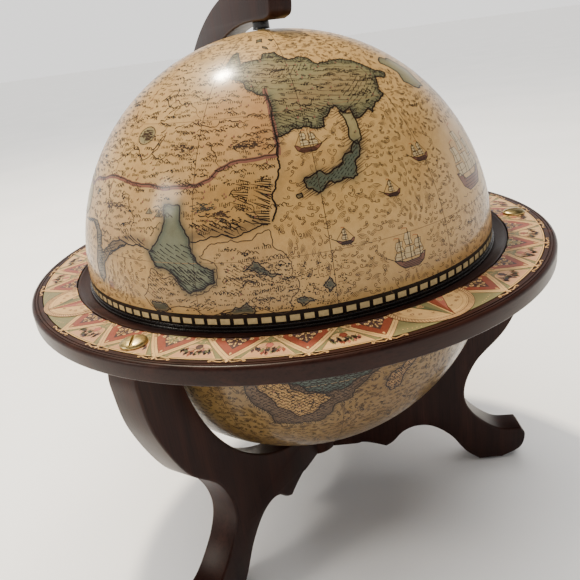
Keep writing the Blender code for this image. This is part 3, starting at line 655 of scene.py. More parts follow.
LOWER_LAND = [(-134, -3), (-132.5, -12), (-130.5, -20), (-128, -23.5), (-128, -27), (-123, -27.5),
              (-120, -27), (-116, -27.5), (-112.5, -24), (-112, -21.5), (-107.5, -20), (-107, -17.5),
              (-101, -13), (-99, -9), (-100, -3)]
LOWER_HEART = [(-129.5, -3), (-129.5, -14), (-126, -20), (-121, -24.5), (-117.5, -23.5), (-112, -18.5),
               (-115, -16), (-119, -16), (-122, -14), (-123, -8), (-122, -3)]
LOWER_GULF = [(-122, -3), (-125, -9), (-124, -12), (-120.5, -12.8), (-118.5, -15.2), (-114.5, -16.8),
              (-110, -16.5), (-106.5, -14), (-102, -12), (-102, -3)]
LOWER_ISLE = [(-97.5, -15.5), (-98.5, -19.5), (-96.5, -22), (-94, -21), (-92.5, -16), (-90.5, -13.5),
              (-92.5, -13)]
RIVERS = [[(-165, 40), (-161, 38.5), (-158, 36), (-152, 36.5), (-147, 37), (-143, 36), (-140, 37.5)],
          [(-141, 45), (-138, 43.5), (-134, 44), (-128, 42.5)],
          [(-176, 34), (-171, 35.5), (-168, 38), (-162, 39)],
          [(-190, 40), (-181, 40), (-177, 41), (-170, 40.5)],
          [(-137, 39), (-135, 37.5), (-134, 35), (-132, 33.5)],
          [(-196, 36), (-188, 34), (-180, 35), (-172, 34.5)],
          [(-160, 52), (-153, 49), (-146, 50), (-140, 46)],
          [(-156, 55), (-150, 50), (-152, 46)],
          [(-131, 56), (-125, 54), (-121, 50)],
          [(-130, 28), (-127, 27), (-124, 23), (-123, 20.5)],
          [(-138, 24), (-133, 23), (-130, 20)],
          [(-172, 30), (-168, 26), (-170, 22)],
          [(-160, 28), (-157, 23), (-158, 19)]]
TARN = [(-155, 37.5), (-153.2, 38.6), (-152, 41), (-151.6, 42), (-152.6, 41.6), (-154, 39.4)]
# Pen sketches as (longitude, latitude, size).
SKETCHES = [(-144.5, 38.5, 1.5), (-163.5, 25.5, 1.5), (-177.5, 27.5, 1.3), (-137.3, 25.4, 1.6),
            (-133.5, 23.8, 1.7), (-128, 38.2, 1.4), (-124, 38, 1.3), (-168.5, 25, 1.2),
            (-160.5, 42.4, 1.6), (-159, 41.4, 1.4)]
# Ships as (longitude, latitude, size, masts, 1 or -1 for the way they head).
UPPER_FLEET = [(-91.5, 7.2, 1.55, 3, 1), (-61, 18.2, 2.9, 3, -1), (-110, 35.2, 1.1, 2, -1),
               (-80.5, 28, 1.0, 2, 1), (-92.5, 22.4, 0.8, 1, 1), (-106, 15, 0.75, 1, 1), (20, 24, 1.6, 3, 1),
               (80, 10, 1.4, 3, -1), (-35, 14, 1.5, 3, 1), (90, 62, 1.1, 2, 1)]
LOWER_FLEET = [(-60, -24, 1.6, 3, 1), (75, -48, 1.5, 3, -1), (10, -18, 1.5, 3, 1), (-165, -40, 1.5, 3, 1)]
LOWER_PAINTED_SHADE = 0.38              # painted shade: the lower half's paper colour is multiplied by this, for the ring's shadow over the bowl


def rough(points, jag=0.13, rounds=3, closed=True):
    """Breaks an outline up like a surveyed coast, by moving the middles of its sides to and fro."""
    line = [tuple(p) for p in points]
    for _ in range(rounds):
        pairs = zip(line, line[1:] + line[:1] if closed else line[1:])
        out = []
        for (x0, y0), (x1, y1) in pairs:
            push = DICE.uniform(-jag, jag)
            out += [(x0, y0), ((x0 + x1) / 2 - (y1 - y0) * push, (y0 + y1) / 2 + (x1 - x0) * push)]
        line = out if closed else out + [line[-1]]
    return line


def blob(lon, lat, size, lobes=7, wobble=0.34):
    """A made-up land: a circle with a few random lobes."""
    waves = [(k, DICE.uniform(0.2, 1.0) / k, DICE.uniform(0, 2 * math.pi)) for k in range(2, lobes)]
    outline = []
    for k in range(26):
        a = 2 * math.pi * k / 26
        reach = size * (1 + wobble * sum(amount * math.sin(m * a + phase) for m, amount, phase in waves))
        y = lat + 0.8 * reach * math.sin(a)
        outline.append((lon + reach * math.cos(a) / math.cos(math.radians(min(70, abs(y)))), y))
    return outline


def strip(line, tall):
    """The strip of land or sea along a coast."""
    return line + [(x, y + tall) for x, y in reversed(line)]


def edge_distance(outline, lon, lat):
    """Distance to an outline in degrees, positive inside it."""
    points = np.array(outline, float)
    squash = math.cos(math.radians(float(np.clip(points[:, 1].mean(), -75, 75))))
    x, y = lon * squash, lat
    px, py = points[:, 0] * squash, points[:, 1]
    nearest, inside = np.full(len(lon), 1e9), np.zeros(len(lon), bool)
    for ax, ay, bx, by in zip(px, py, np.roll(px, -1), np.roll(py, -1)):
        dx, dy = bx - ax, by - ay
        t = np.clip(((x - ax) * dx + (y - ay) * dy) / (dx * dx + dy * dy + 1e-12), 0, 1)
        nearest = np.minimum(nearest, (x - ax - t * dx) ** 2 + (y - ay - t * dy) ** 2)
        crossing = (ay > y) != (by > y)
        inside ^= crossing & (x < dx * (y - ay) / (dy if abs(dy) > 1e-12 else 1e-12) + ax)
    return np.sqrt(nearest) * np.where(inside, 1, -1)


class Tinting:
    """Hand-tinted washes on one half of the globe, kept as a colour for each vertex of its shell."""

    def __init__(self, points, centre_z):
        self.lon = (np.degrees(np.arctan2(points[:, 1], points[:, 0])) + 230) % 360 - 230
        reach = np.linalg.norm(points[:, :2], axis=1)
        self.lat = np.degrees(np.arctan2(points[:, 2] - centre_z, reach))
        self.colour = np.tile(linear(PARCHMENT), (len(points), 1))

    def near(self, outline, margin):
        points = np.array(outline)
        (x0, y0), (x1, y1) = points.min(0) - margin, points.max(0) + margin
        wide = margin / math.cos(math.radians(min(80, max(abs(y0), abs(y1)))))
        return np.flatnonzero((self.lon > x0 - wide) & (self.lon < x1 + wide)
                              & (self.lat > y0) & (self.lat < y1))

    def lay(self, picked, weight, colour):
        weight = weight[:, None]
        self.colour[picked] = self.colour[picked] * (1 - weight) + np.array(linear(colour)) * weight

    def area(self, outline, colour, strength=1.0, soft=0.6, rim=None, rim_width=1.5, rim_strength=0.6):
        """Tints an area, and darkens a band along the inside of its edge."""
        picked = self.near(outline, soft + 0.5)
        distance = edge_distance(outline, self.lon[picked], self.lat[picked])
        inside = np.clip(distance / soft + 0.5, 0, 1)
        self.lay(picked, inside * strength, colour)
        if rim:
            self.lay(picked, inside * np.exp(-(distance / rim_width) ** 2) * rim_strength, rim)

    def halo(self, outline, colour, width, strength):
        """A soft shade along the outside of an area."""
        picked = self.near(outline, 3 * width)
        distance = edge_distance(outline, self.lon[picked], self.lat[picked])
        self.lay(picked, (distance < 0) * np.exp(-(distance / width) ** 2) * strength, colour)


# ---------------------------------------------------------------- small drawings
TAILED_CURL = [(-1.3, 0.05), (-0.9, -0.14), (-0.45, -0.16)] + volute(0, 0.30, 0.46, -90, 374, 12, 0.72)
OPEN_CURL = volute(0.5, 0, 0.42, -60, 420, 11, 0.7, -1)


def scroll_wave(pen, width, tone):
    """The printer's curling wave: a tail that winds up into a small spiral."""
    pen.line(TAILED_CURL, width, tone)


def swell(pen, width, tone):
    """A few nested arcs, the engraver's flowing water."""
    for k in range(DICE.choice((2, 3, 4))):
        reach = 0.62 + 0.40 * k
        turns = [math.radians(25 + DICE.uniform(-8, 8) + 17 * m) for m in range(7)]
        arch = [(reach * math.cos(a), 0.8 * reach * math.sin(a) - 0.4) for a in turns]
        pen.line(arch, width, tone, taper=True)


def ripple(pen, width, tone):
    """Two curls that turn away from each other."""
    for side in (-1, 1):
        pen.line([(side * x, y) for x, y in OPEN_CURL], width, tone)


def hill(pen):
    pen.line([(-0.8, 0), (-0.45, 0.5), (-0.1, 0.72), (0.25, 0.5), (0.7, 0)], 22, "dark")
    for x in (0.1, 0.3, 0.5):
        pen.line([(x, 0.55 - 0.5 * x), (x + 0.1, 0.1)], 20, "brown", taper=True)


def tree(pen):
    pen.line([(0, 0), (0, 0.4)], 20, "brown")
    pen.loop([(-0.3, 0.4), (-0.3, 0.75), (0, 0.95), (0.3, 0.75), (0.3, 0.4)], 20, "slate")


def town(pen):
    pen.loop(oval(0, 0, 0.2, 0.2, 8), 18, "dark")
    pen.fill([(0.3, 0.1), (0.7, 0.1), (0.7, 0.5), (0.5, 0.85), (0.3, 0.5)], "mauve", 2)


def tent(pen):
    sides = [(-0.8, 0), (0.9, 0), (0.1, 1.1)]
    pen.fill(sides, "shade", 1)
    pen.loop(sides, 24, "brown")
    pen.line([(0.1, 1.1), (0.2, 0)], 20, "brown")


def marks(pen, count, tall):
    """A row of upright ticks and dashes, which stands for a line of small print without being any."""
    for k in range(count):
        x, lean, rise = 0.42 * k, DICE.uniform(-0.08, 0.08), tall * DICE.uniform(0.5, 1.0)
        pen.line([(x, 0), (x + lean, rise)], 22, "dark")
        if DICE.random() < 0.55:
            y = rise * DICE.choice((0.0, 0.5, 1.0))
            pen.line([(x, y), (x + 0.24, y + 0.03)], 18, "dark")


def river(sheet, points):
    sheet.line(rough(points, 0.22, 3, closed=False), 36, "dark", taper=True)


def sketch(pen, strokes, tone):
    """A small cloud of pen strokes, as engravers drew beasts, camps and woods."""
    for _ in range(strokes):
        x, y = DICE.gauss(0, 0.8), DICE.gauss(0, 0.35)
        bend, reach = DICE.uniform(-0.4, 0.4), DICE.uniform(0.25, 0.6)
        stroke = [(x, y), (x + reach * 0.5, y + bend * 0.5), (x + reach, y + bend * 0.2)]
        pen.line(stroke, DICE.uniform(20, 40), tone)


def shading(sheet, outline, gap, reach, slope, width=30, inset=0.2, tone="dark"):
    """An engraver's shading: broken parallel strokes over an area."""
    points = np.array(outline, float)
    middle = points.mean(0)
    squash = math.cos(math.radians(middle[1]))
    extent = np.abs((points - middle) * (squash, 1.0)).max() * 1.45
    c, s = math.cos(math.radians(slope)), math.sin(math.radians(slope))
    strokes = []
    row = -extent
    while row < extent:
        along = -extent + DICE.uniform(0, reach)
        while along < extent:
            long = reach * DICE.uniform(0.5, 1.3)
            bend = DICE.uniform(-0.16, 0.16)
            end = (along + long, row + DICE.uniform(-0.1, 0.1))
            knots = ((along, row), (along + long * 0.5, row + bend), end)
            strokes.append([(middle[0] + (a * c - b * s) / squash, middle[1] + a * s + b * c)
                            for a, b in knots])
            along += long + DICE.uniform(0.12, 0.5)
        row += gap * DICE.uniform(0.85, 1.15)
    ends = np.array([(k[0], k[2]) for k in strokes]).reshape(-1, 2)
    inside = (edge_distance(outline, ends[:, 0], ends[:, 1]) > inset).reshape(-1, 2).all(1)
    for stroke, kept in zip(strokes, inside):
        if kept:
            sheet.line(stroke, width, tone, taper=True)


def hatch(sheet, outline, length, spacing, tone="brown", closed=True, turn=35.0, out=1.0, width=30,
          slope=None):
    """Short tapering strokes along a coast, outside it when out is 1; all parallel if slope is given."""
    points = outline + outline[:1] if closed else outline
    area = sum(a[0] * b[1] - b[0] * a[1] for a, b in zip(points, points[1:])) if closed else 1.0
    side = -math.copysign(1.0, area) * out
    left_over = 0.0
    for (x0, y0), (x1, y1) in zip(points, points[1:]):
        squash = math.cos(math.radians((y0 + y1) / 2))
        dx, dy = (x1 - x0) * squash, y1 - y0
        reach = math.hypot(dx, dy)
        if reach < 1e-6:
            continue
        place = left_over
        while place < reach:
            t = place / reach
            outward = math.atan2(dx * side, -dy * side)
            angle = outward + math.radians(turn + DICE.uniform(-9, 9))
            long = length * DICE.uniform(0.55, 1.15)
            if slope is not None:
                angle = math.radians(slope + DICE.uniform(-4, 4))
                angle += math.pi if math.cos(angle - outward) < 0 else 0.0
                long *= 0.35 + 0.65 * abs(math.cos(angle - outward))
            x, y = x0 + (x1 - x0) * t, y0 + dy * t
            end = (x + long * math.cos(angle) / squash, y + long * math.sin(angle))
            middle = tuple((a + b) / 2 + DICE.uniform(-0.12, 0.12) for a, b in zip((x, y), end))
            sheet.line([(x, y), middle, end], width, tone, taper=True)
            place += spacing
        left_over = place - reach


def ship(pen, masts, big=True):
    """A sailing ship seen from the side, about 5 units long and 5 high."""
    hull = [(-2.7, 1.0), (-2.0, 0.25), (-1.2, -0.35), (1.3, -0.45), (2.2, 0.1), (2.7, 1.25), (2.1, 1.1),
            (1.4, 0.55), (-1.0, 0.5), (-1.9, 0.85)]
    pen.fill(hull, "hull", 1)
    pen.loop(hull, 32 if big else 22, "dark", 3)
    for y in (0.25, 0.0, -0.22):
        pen.line([(-1.7 + abs(y), y), (2.0 - abs(y), y + 0.08)], 20, "dark", 3)
    pen.line([(-2.5, 0.95), (-4.0, 1.75)], 26, "dark", 3)
    tops = {1: [(0, 4.2)], 2: [(-0.9, 3.8), (0.9, 4.1)], 3: [(-1.5, 3.9), (0.1, 5.0), (1.7, 3.7)]}[masts]
    for x, top in tops:
        pen.line([(x, 0.5), (x, top)], 30 if big else 20, "dark", 4)
        pen.line([(x, top), (x - 0.7, top + 0.16), (x - 0.9, top - 0.02)], 30, "rust", 4)
        for low, high, wide in ((0.95, 0.5 * top, 0.95), (0.55 * top, 0.88 * top, 0.65)):
            middle = (low + high) / 2
            sail = [(x - wide, low), (x - 0.2 - wide, middle), (x - 0.85 * wide, high),
                    (x + 0.75 * wide, high), (x + 0.45 * wide, middle), (x + 0.8 * wide, low)]
            pen.fill(sail, "sail", 2)
            pen.loop(sail, 22, "brown", 3)
            pen.line([sail[1], (x, middle - 0.1), sail[4]], 16, "soft", 3)
    for x, top in ((-2.6, tops[0]), (2.5, tops[-1])):
        pen.line([(x, 1.1), top], 18, "brown", 3)
    for k in range(5):
        x = -2.4 + 1.1 * k
        pen.line([(x, -0.55), (x + 0.35, -0.75), (x + 0.8, -0.6)], 20, "brown")


def sea_beast(pen):
    for k in range(3):
        x = 1.1 * k
        pen.line([(x, 0), (x + 0.2, 0.55), (x + 0.6, 0.55), (x + 0.85, 0)], 40, "brown")
    pen.line([(-0.9, 0.3), (-0.6, 0.8), (-0.2, 0.55), (0.0, 0.0)], 50, "brown")
    pen.line([(3.3, 0), (3.8, 0.7), (4.2, 0.5)], 30, "brown")


# ---------------------------------------------------------------- the map
SCROLL_GAP = 1.50               # degrees between the sea's curling waves
AROUND = (-230, 130)            # the longitudes of the whole globe, cut in the far sea


def scatter(lon_range, lat_range, gap):
    """Jittered places, evenly spread over a part of the globe."""
    spots, lat, row = [], lat_range[0], 0
    while lat < lat_range[1]:
        pitch = gap / max(0.12, math.cos(math.radians(lat)))
        lon = lon_range[0] + pitch * (0.5 if row % 2 else 0.0)
        while lon < lon_range[1]:
            spots.append((lon + DICE.uniform(-0.35, 0.35) * pitch, lat + DICE.uniform(-0.42, 0.42) * gap))
            lon += pitch
        lat, row = lat + gap, row + 1
    return spots


def clearance(spots, outlines):
    """How far each spot is from the nearest outline, in degrees: positive on land, negative at sea."""
    lon, lat = np.array(spots).T
    best = np.full(len(spots), -99.0)
    for outline in outlines:
        best = np.maximum(best, edge_distance(outline, lon, lat))
    return best


def draw_sea(sheet, lat_range, lands, fleet, width, tones):
    """Curling waves wherever there is neither land nor a ship."""
    spots = scatter(AROUND, lat_range, SCROLL_GAP)
    for (lon, lat), off in zip(spots, clearance(spots, lands)):
        crowded = any(abs((lon - x) * math.cos(math.radians(lat))) < 3.4 * s and -1.04 * s < lat - y < 5.2 * s
                      for x, y, s, *_ in fleet)
        if off > -1.3 or crowded:
            continue
        drift = 55 * math.sin(0.19 * lon + 0.11 * lat) + 30 * math.sin(0.23 * lat - 0.07 * lon)
        size, turn, flip = DICE.uniform(0.66, 0.98), drift + DICE.uniform(-22, 22), DICE.choice((-1, 1))
        draw = DICE.choice((scroll_wave, scroll_wave, scroll_wave, swell, swell, ripple))
        draw(sheet.at(lon, lat, size, turn, flip), width, DICE.choice(tones))


def draw_land(sheet, lat_range, lands, waters, gap):
    """Names' stand-ins, hills, woods and towns over the land."""
    spots = scatter(AROUND, lat_range, gap)
    for (lon, lat), land, water in zip(spots, clearance(spots, lands), clearance(spots, waters)):
        kind = DICE.random()
        if land < 0.9 or water > -1.2:
            continue
        if kind < 0.40:
            marks(sheet.at(lon - 0.8, lat), DICE.randint(3, 6), DICE.uniform(0.4, 0.8))
        elif kind < 0.60:
            for k in range(DICE.randint(2, 5)):
                hill(sheet.at(lon + 0.85 * k, lat + DICE.uniform(-0.3, 0.3), DICE.uniform(0.6, 1.0)))
        elif kind < 0.72:
            for x, y in ((0, 0), (0.6, -0.2)):
                tree(sheet.at(lon + x, lat + y, DICE.uniform(0.5, 0.8)))
        elif kind < 0.88:
            town(sheet.at(lon, lat, DICE.uniform(0.6, 0.9)))
        elif kind < 0.93:
            bends = [(0.5 * k, DICE.uniform(-0.35, 0.35)) for k in range(DICE.randint(4, 8))]
            river(sheet, sheet.at(lon, lat, 1.3, DICE.uniform(-60, 60)).put(bends))
        else:
            sketch(sheet.at(lon, lat, 0.8), 12, "dark")


def grid_lines(sheet, low, high, parallels):
    for k in range(12):
        sheet.line([(30 * k - 139.5, low), (30 * k - 139.5, high)], 20, "brown", 1)
    for lat in parallels:
        sheet.line([(-180 + 2 * k, lat) for k in range(180)], 22, "faint", 1, closed=True)


def far_lands(low, high, spots):
    """Made-up lands for the side that faces the hinge, kept inside one half of the globe."""
    blobs = [blob(*spot) for spot in spots]
    return [rough([(x, min(high, max(low, y))) for x, y in outline]) for outline in blobs]


def draw_fleet(sheet, fleet, beasts, size, small=0.0):
    for lon, lat, scale, masts, flip in fleet:
        ship(sheet.at(lon, lat, scale, 0, flip), masts, scale > small)
    for lon, lat in beasts:
        sea_beast(sheet.at(lon, lat, size))


def upper_map(tinting, sheet):
    """The upper half: the western land, the gulf, the islands and the sage northern land."""
    grid_lines(sheet, 2.6, 84, (14, 45, 66.5))
    west, north = rough(WEST_LAND), rough(NORTH_LAND)
    backs = far_lands(5, 84, [(60, 33, 27), (112, 52, 17), (-20, 38, 17), (5, 12, 8), (112, 16, 9)])
    cape, isles, peninsula, gulf = rough(DARK_CAPE), rough(ISLES, 0.2), rough(PENINSULA), rough(GULF)
    speckled, far_isle, left_sea = rough(SPECKLED_LAND, 0.2), rough(FAR_ISLE), rough(LEFT_SEA)
    area, halo = tinting.area, tinting.halo
    area(west, "#dcb078", 0.8, 1.0)
    area(rough(ORANGE_LAND), ORANGE_TAN, 0.45, 7.0)
    area([(-128, 60), (-119, 60), (-118.3, 50), (-118.2, 35.5), (-124, 35.5)], "#c08350", 0.5, 4.0)
    area([(-139, 29), (-123, 34), (-120, 26), (-123, 21), (-139, 19.5)], "#c99a5e", 0.75, 5.0)
    halo(west, "#a98a62", 1.3, 0.45)
    area(cape, "#6b5f4c", 0.9, 0.8, COAST_BROWN, 0.7, 0.6)
    area(left_sea, SAGE_LIGHT, 0.85, 1.8, COAST_BROWN, 1.0, 0.5)
    for line in (SOUTH_COAST[7:], SHORE):
        area(strip(line, 2.2), "#8e6f4c", 0.75, 1.0)
    area(speckled, "#cfa571", 0.7, 1.2)
    area(gulf, "#7d806a", 0.95, 0.5, DEEP_GREEN, 0.9, 0.75)
    halo(gulf, "#5f5a49", 1.3, 0.75)
    area(north, SAGE, 0.92, 0.5, DEEP_GREEN, 1.0, 0.65)
    for lon, lat, wide, high in ((-117, 56.5, 9, 3.4), (-92, 50.5, 11, 4.5), (-108, 48, 7, 3)):
        area(oval(lon, lat, wide, high, 24), "#a98a60", 0.75, 5.0)
    area(peninsula, SAGE_LIGHT, 0.85, 0.5, SAGE, 0.6, 0.5)
    area(isles, "#55655b", 0.92, 0.5, "#2d3832", 0.4, 0.6)
    halo(isles, "#6f6a55", 1.1, 0.55)
    area(far_isle, SAGE, 0.9, 0.6, DEEP_GREEN, 0.9, 0.5)
    area(rough(RED_ISLE), RUST, 0.85, 0.5)
    for k, back in enumerate(backs):
        area(back, (SAGE_LIGHT, ORANGE_TAN, "#d7ab74")[k % 3], 0.8, 0.8, COAST_BROWN, 1.3, 0.5)
    small = [rough(o, 0.2) for o in SMALL_ISLES]
    for outline in small:
        area(outline, DEEP_GREEN, 0.9, 0.4)

    for line in BORDERS:
        mauve = rough(line, 0.06, 2, closed=False)
        sheet.line(mauve, 160, "mauve", 1)
        sheet.line([(x, y + 0.18) for x, y in mauve], 40, "brown", 2)
    east = [(-121, 21.5)] + EAST_COAST[:8]
    for line, jag, width in ((SOUTH_COAST, 0.13, 50), (SHORE, 0.13, 40), (east, 0.2, 60)):
        sheet.line(rough(line, jag, closed=False), width, "dark", 3)
    for outline in (gulf, north, isles, peninsula, cape, far_isle, left_sea, *backs):
        sheet.loop(outline, 50, "dark", 3)
    sheet.loop(speckled, 30, "brown", 3)
    for outline in small:
        sheet.loop(outline, 40, "dark", 3)
    shading(sheet, [(x, min(y, 18.5)) for x, y in gulf], 0.85, 2.2, -28, 36)
    shading(sheet, [(x, min(y, 13.5)) for x, y in gulf], 0.6, 2.4, -40, 50, 0.0)
    hatch(sheet, [p for p in gulf if p[1] < 17], 1.6, 0.5, "dark", closed=False, slope=-25, width=50)
    hatch(sheet, isles, 3.4, 0.6, slope=24)
    shading(sheet, isles, 0.55, 1.0, 40, 30, 0.1)
    hatch(sheet, north, 1.5, 0.6, "dark", out=-1.0, turn=10)
    hatch(sheet, north, 1.1, 0.7, turn=25)
    hatch(sheet, peninsula, 2.4, 0.6, slope=20)
    shading(sheet, cape, 0.6, 2.0, 15, 34, 0.05)
    shading(sheet, north, 1.5, 2.4, -14, 22, 0.8, "brown")
    for outline, gap, reach, slope in (
            ([(-118, 39.5), (-104, 40), (-98, 43), (-97, 47), (-108, 46), (-118, 46)], 0.7, 1.8, -30),
            ([(-96, 42), (-80, 46), (-76, 51), (-84, 53), (-96, 48)], 0.8, 1.8, 35),
            ([(-120, 60), (-100, 59), (-96, 56), (-108, 55), (-119, 55)], 0.8, 1.6, 60)):
        shading(sheet, outline, gap, reach, slope, 26, 0.3)
    for line, tall in ((SOUTH_COAST[8:], 2.6), (SHORE, 3.6)):
        shading(sheet, strip(line, tall), 0.7, 3.0, -27, 48, -0.3)
    for outline, slope in (([(-152, 12.5), (-146, 11), (-148, 5), (-153, 6)], -35),
                           ([(-146, 7), (-139, 7), (-134, 4), (-141, 3)], 25),
                           ([(-134, 13), (-127, 15), (-124, 10), (-130, 7)], -30)):
        shading(sheet, outline, 0.6, 1.6, slope)
    for line, length, spacing, turn, width in (
            ([(-120.3, 30), (-120.6, 27), (-121.5, 24), (-121.5, 21)], 4.5, 0.5, -12, 40),
            ([(-125.5, 30), (-126, 27), (-127, 24)], 3.2, 0.55, -8, 34)):
        hatch(sheet, line, length, spacing, "dark", closed=False, turn=turn, width=width)
    for back in backs:
        hatch(sheet, back, 1.9, 0.7)
    for points in RIVERS:
        river(sheet, points)
    lake = oval(-160, 42, 3.6, 2.2, 28)
    area(lake, "#8f8a6c", 0.8, 1.0)
    sheet.loop(rough(lake, 0.1, 1), 30, "brown", 3)
    sheet.loop(rough(TARN, 0.1, 1), 35, "brown", 3)
    for lon, lat, size in SKETCHES:
        sketch(sheet.at(lon, lat, size), 46, DICE.choice(("slate", "brown")))
    for lon, lat in ((-152, 24.2), (-149, 23.6)):
        tent(sheet.at(lon, lat, 1.2))
    draw_fleet(sheet, UPPER_FLEET, ((-72, 40), (-70, 10), (30, 58), (-10, 8)), 0.9, 1.2)
    lands = [west, north, gulf, speckled, isles, peninsula, far_isle, *backs, *small]
    draw_sea(sheet, (3.6, 80), lands, UPPER_FLEET, 20, ("soft", "brown", "brown"))
    draw_land(sheet, (3.8, 78), [west, north, speckled, peninsula, *backs], [gulf, left_sea, lake], 1.75)
    for lon, lat in scatter((-150, -118), (3.4, 15), 0.9):
        if edge_distance(gulf, np.array([lon]), np.array([lat]))[0] < 0 and DICE.random() < 0.62:
            marks(sheet.at(lon, lat, 0.6), DICE.randint(1, 3), 0.6)
    for lon, lat in scatter((-127, -106), (3.4, 13), 0.75):
        if DICE.random() < 0.75 - (lon + 127) / 60:
            sketch(sheet.at(lon, lat, 0.5), 3, "dark")


def lower_map(tinting, sheet):
    """The lower half: a pointed southern land with a sage gulf, an island, and made-up lands behind."""
    grid_lines(sheet, -84, -1, (-14, -30, -66.5))
    # painted shade: the whole lower half's paper is darkened, standing in for the shade under the ring
    tinting.colour *= LOWER_PAINTED_SHADE
    land, heart, gulf, isle = (rough(o) for o in (LOWER_LAND, LOWER_HEART, LOWER_GULF, LOWER_ISLE))
    backs = far_lands(-84, -2, [(50, -22, 20), (105, -38, 13), (-30, -20, 15), (-5, -48, 12),
                                (-195, -20, 11)])
    area = tinting.area
    area(land, "#6b5241", 0.9, 0.6, "#3e2d24", 0.8, 0.8)
    area(heart, "#c7995f", 0.95, 0.8, COAST_BROWN, 0.6, 0.6)
    area(gulf, BLUE_GREY, 0.92, 0.6, DEEP_GREEN, 0.9, 0.8)
    area(isle, "#c09260", 0.9, 0.5, COAST_BROWN, 0.9, 0.8)
    tinting.halo(land, "#8a6e4e", 1.5, 0.5)
    for k, back in enumerate(backs):
        area(back, (ORANGE_TAN, SAGE_LIGHT, "#cfa06a")[k % 3], 0.8, 0.8, COAST_BROWN, 1.3, 0.5)
    for outline in (land, heart, gulf, isle, *backs):
        sheet.loop(outline, 50, "dark", 3)
        hatch(sheet, outline, 1.7, 0.55, "dark" if outline is land else "brown")
    for outline, gap, reach, slope, inset in ((land, 0.9, 1.8, 30, 0.1), (land, 0.9, 1.8, -40, 0.1),
                                              (gulf, 0.7, 2.0, -5, 0.2),
                                              (isle, 0.6, 1.2, 20, 0.1), (isle, 0.6, 1.2, -50, 0.1)):
        shading(sheet, outline, gap, reach, slope, 40, inset)
    for points in ([(-124, -10), (-122, -16), (-119, -19)], [(-128, -12), (-125, -17), (-121, -23)],
                   [(-117, -18), (-118, -21), (-119, -24)]):
        river(sheet, points)
    beasts = ((-108, -27), (-88, -29.5), (-75, -22), (-140, -50), (-84, -36), (-97, -33), (-79, -12))
    draw_fleet(sheet, LOWER_FLEET, beasts, 1.25)
    draw_sea(sheet, (-78, -1.5), [land, gulf, isle, *backs], LOWER_FLEET, 26, ("brown", "dark"))
    draw_land(sheet, (-78, -2), [heart, isle, *backs], [gulf], 1.5)


# ---------------------------------------------------------------- the globe's pieces
SHELL_STEPS = 720
PEN = 1.80                      # how broad the map engraver's pen is, against the widths given in metres
BAND_TOP = 2.80                 # latitude of the scale band's upper edge
BAND_MARKS = 120
BAND_START = -121.8             # longitude of the first mark
BLOCK_LOW, BLOCK_HIGH = 0.55, 1.85      # latitudes of a mark's block
BLOCK_SHARE = 0.71              # a block's share of its mark's width


def half_shell(name, sign, centre_z, hole, edge, draw, body, node):
    """One half of the globe: a thin shell with its printed map outside and its paper lining inside."""
    start = math.degrees(math.asin(edge / R))
    outer_end, inner_end = math.degrees(math.acos(hole / R)), math.degrees(math.acos(hole / (R - WALL)))
    rows = 160
    outer = arc((0.0, 0.0), R, start, outer_end, rows)
    inner = arc((0.0, 0.0), R - WALL, inner_end, start, 30)
    outline = [(x, centre_z + sign * y) for x, y in outer + inner]
    tones = [0] * rows + [1] * (len(outline) - rows)
    if sign > 0:
        outline, tones = outline[::-1], tones[::-1][1:] + [1]
    mesh = lathe(name, outline, SHELL_STEPS, [MAP, LINING], tones)
    points = np.empty(len(mesh.vertices) * 3, np.float32)
    mesh.vertices.foreach_get("co", points)
    points = points.reshape(-1, 3).astype(float)
    tinting = Tinting(points, centre_z)
    drawing = Sheet(on_sphere(centre_z), 1.2, PEN)
    draw(tinting, drawing)
    attribute = mesh.attributes.new("wash", "FLOAT_COLOR", "POINT")
    colours = np.hstack([tinting.colour, np.ones((len(points), 1))]).astype(np.float32)
    attribute.data.foreach_set("color", colours.ravel())
    new_piece(name, mesh, body, [node])
    drawing.build(name + "_drawing", body, "map_print", MAP_INKS)


def scale_band():
    """The black printed band round the upper half's foot, with its row of tan degree blocks."""
    lift, steps, low = 0.00005, 360, 0.12
    outer = arc((0.0, DOME_Z), R + lift, low, BAND_TOP, 8)
    inner = arc((0.0, DOME_Z), R + lift / 4, BAND_TOP, low, 8)
    mesh = lathe("scale_band", (outer + inner)[::-1], steps, [BAND_BLACK])
    new_piece("scale_band", mesh, "dome")
    sheet = Sheet(on_sphere(DOME_Z), 1.0)
    pitch = 360 / BAND_MARKS
    for k in range(BAND_MARKS):
        west, east = (BAND_START + pitch * (k + side * BLOCK_SHARE / 2) for side in (-1, 1))
        block = [(west, BLOCK_LOW), (east, BLOCK_LOW), (east, BLOCK_HIGH), (west, BLOCK_HIGH)]
        sheet.fill(block, "tan", 3)
    sheet.build("scale_band_blocks", "dome", "map_print", {"tan": BAND_TAN})


def band_material(name, code):
    """The scale band's screen print, slightly rubbed."""
    n = Nodes(name)
    rubbed = n.ramp(n.noise(n.coords(), 400, 5, 0.7), (0.30, 0.72), (0.62, 1.05))
    return n.finish(n.mix(code, rubbed), 0.4, n.bump(n.noise(n.coords(), 900, 2), 0.1, 0.0001), **MAP_GLOSS)


BAND_BLACK = band_material("band_black", "#17110e")
BAND_TAN = band_material("band_tan", "#c3ab7b")


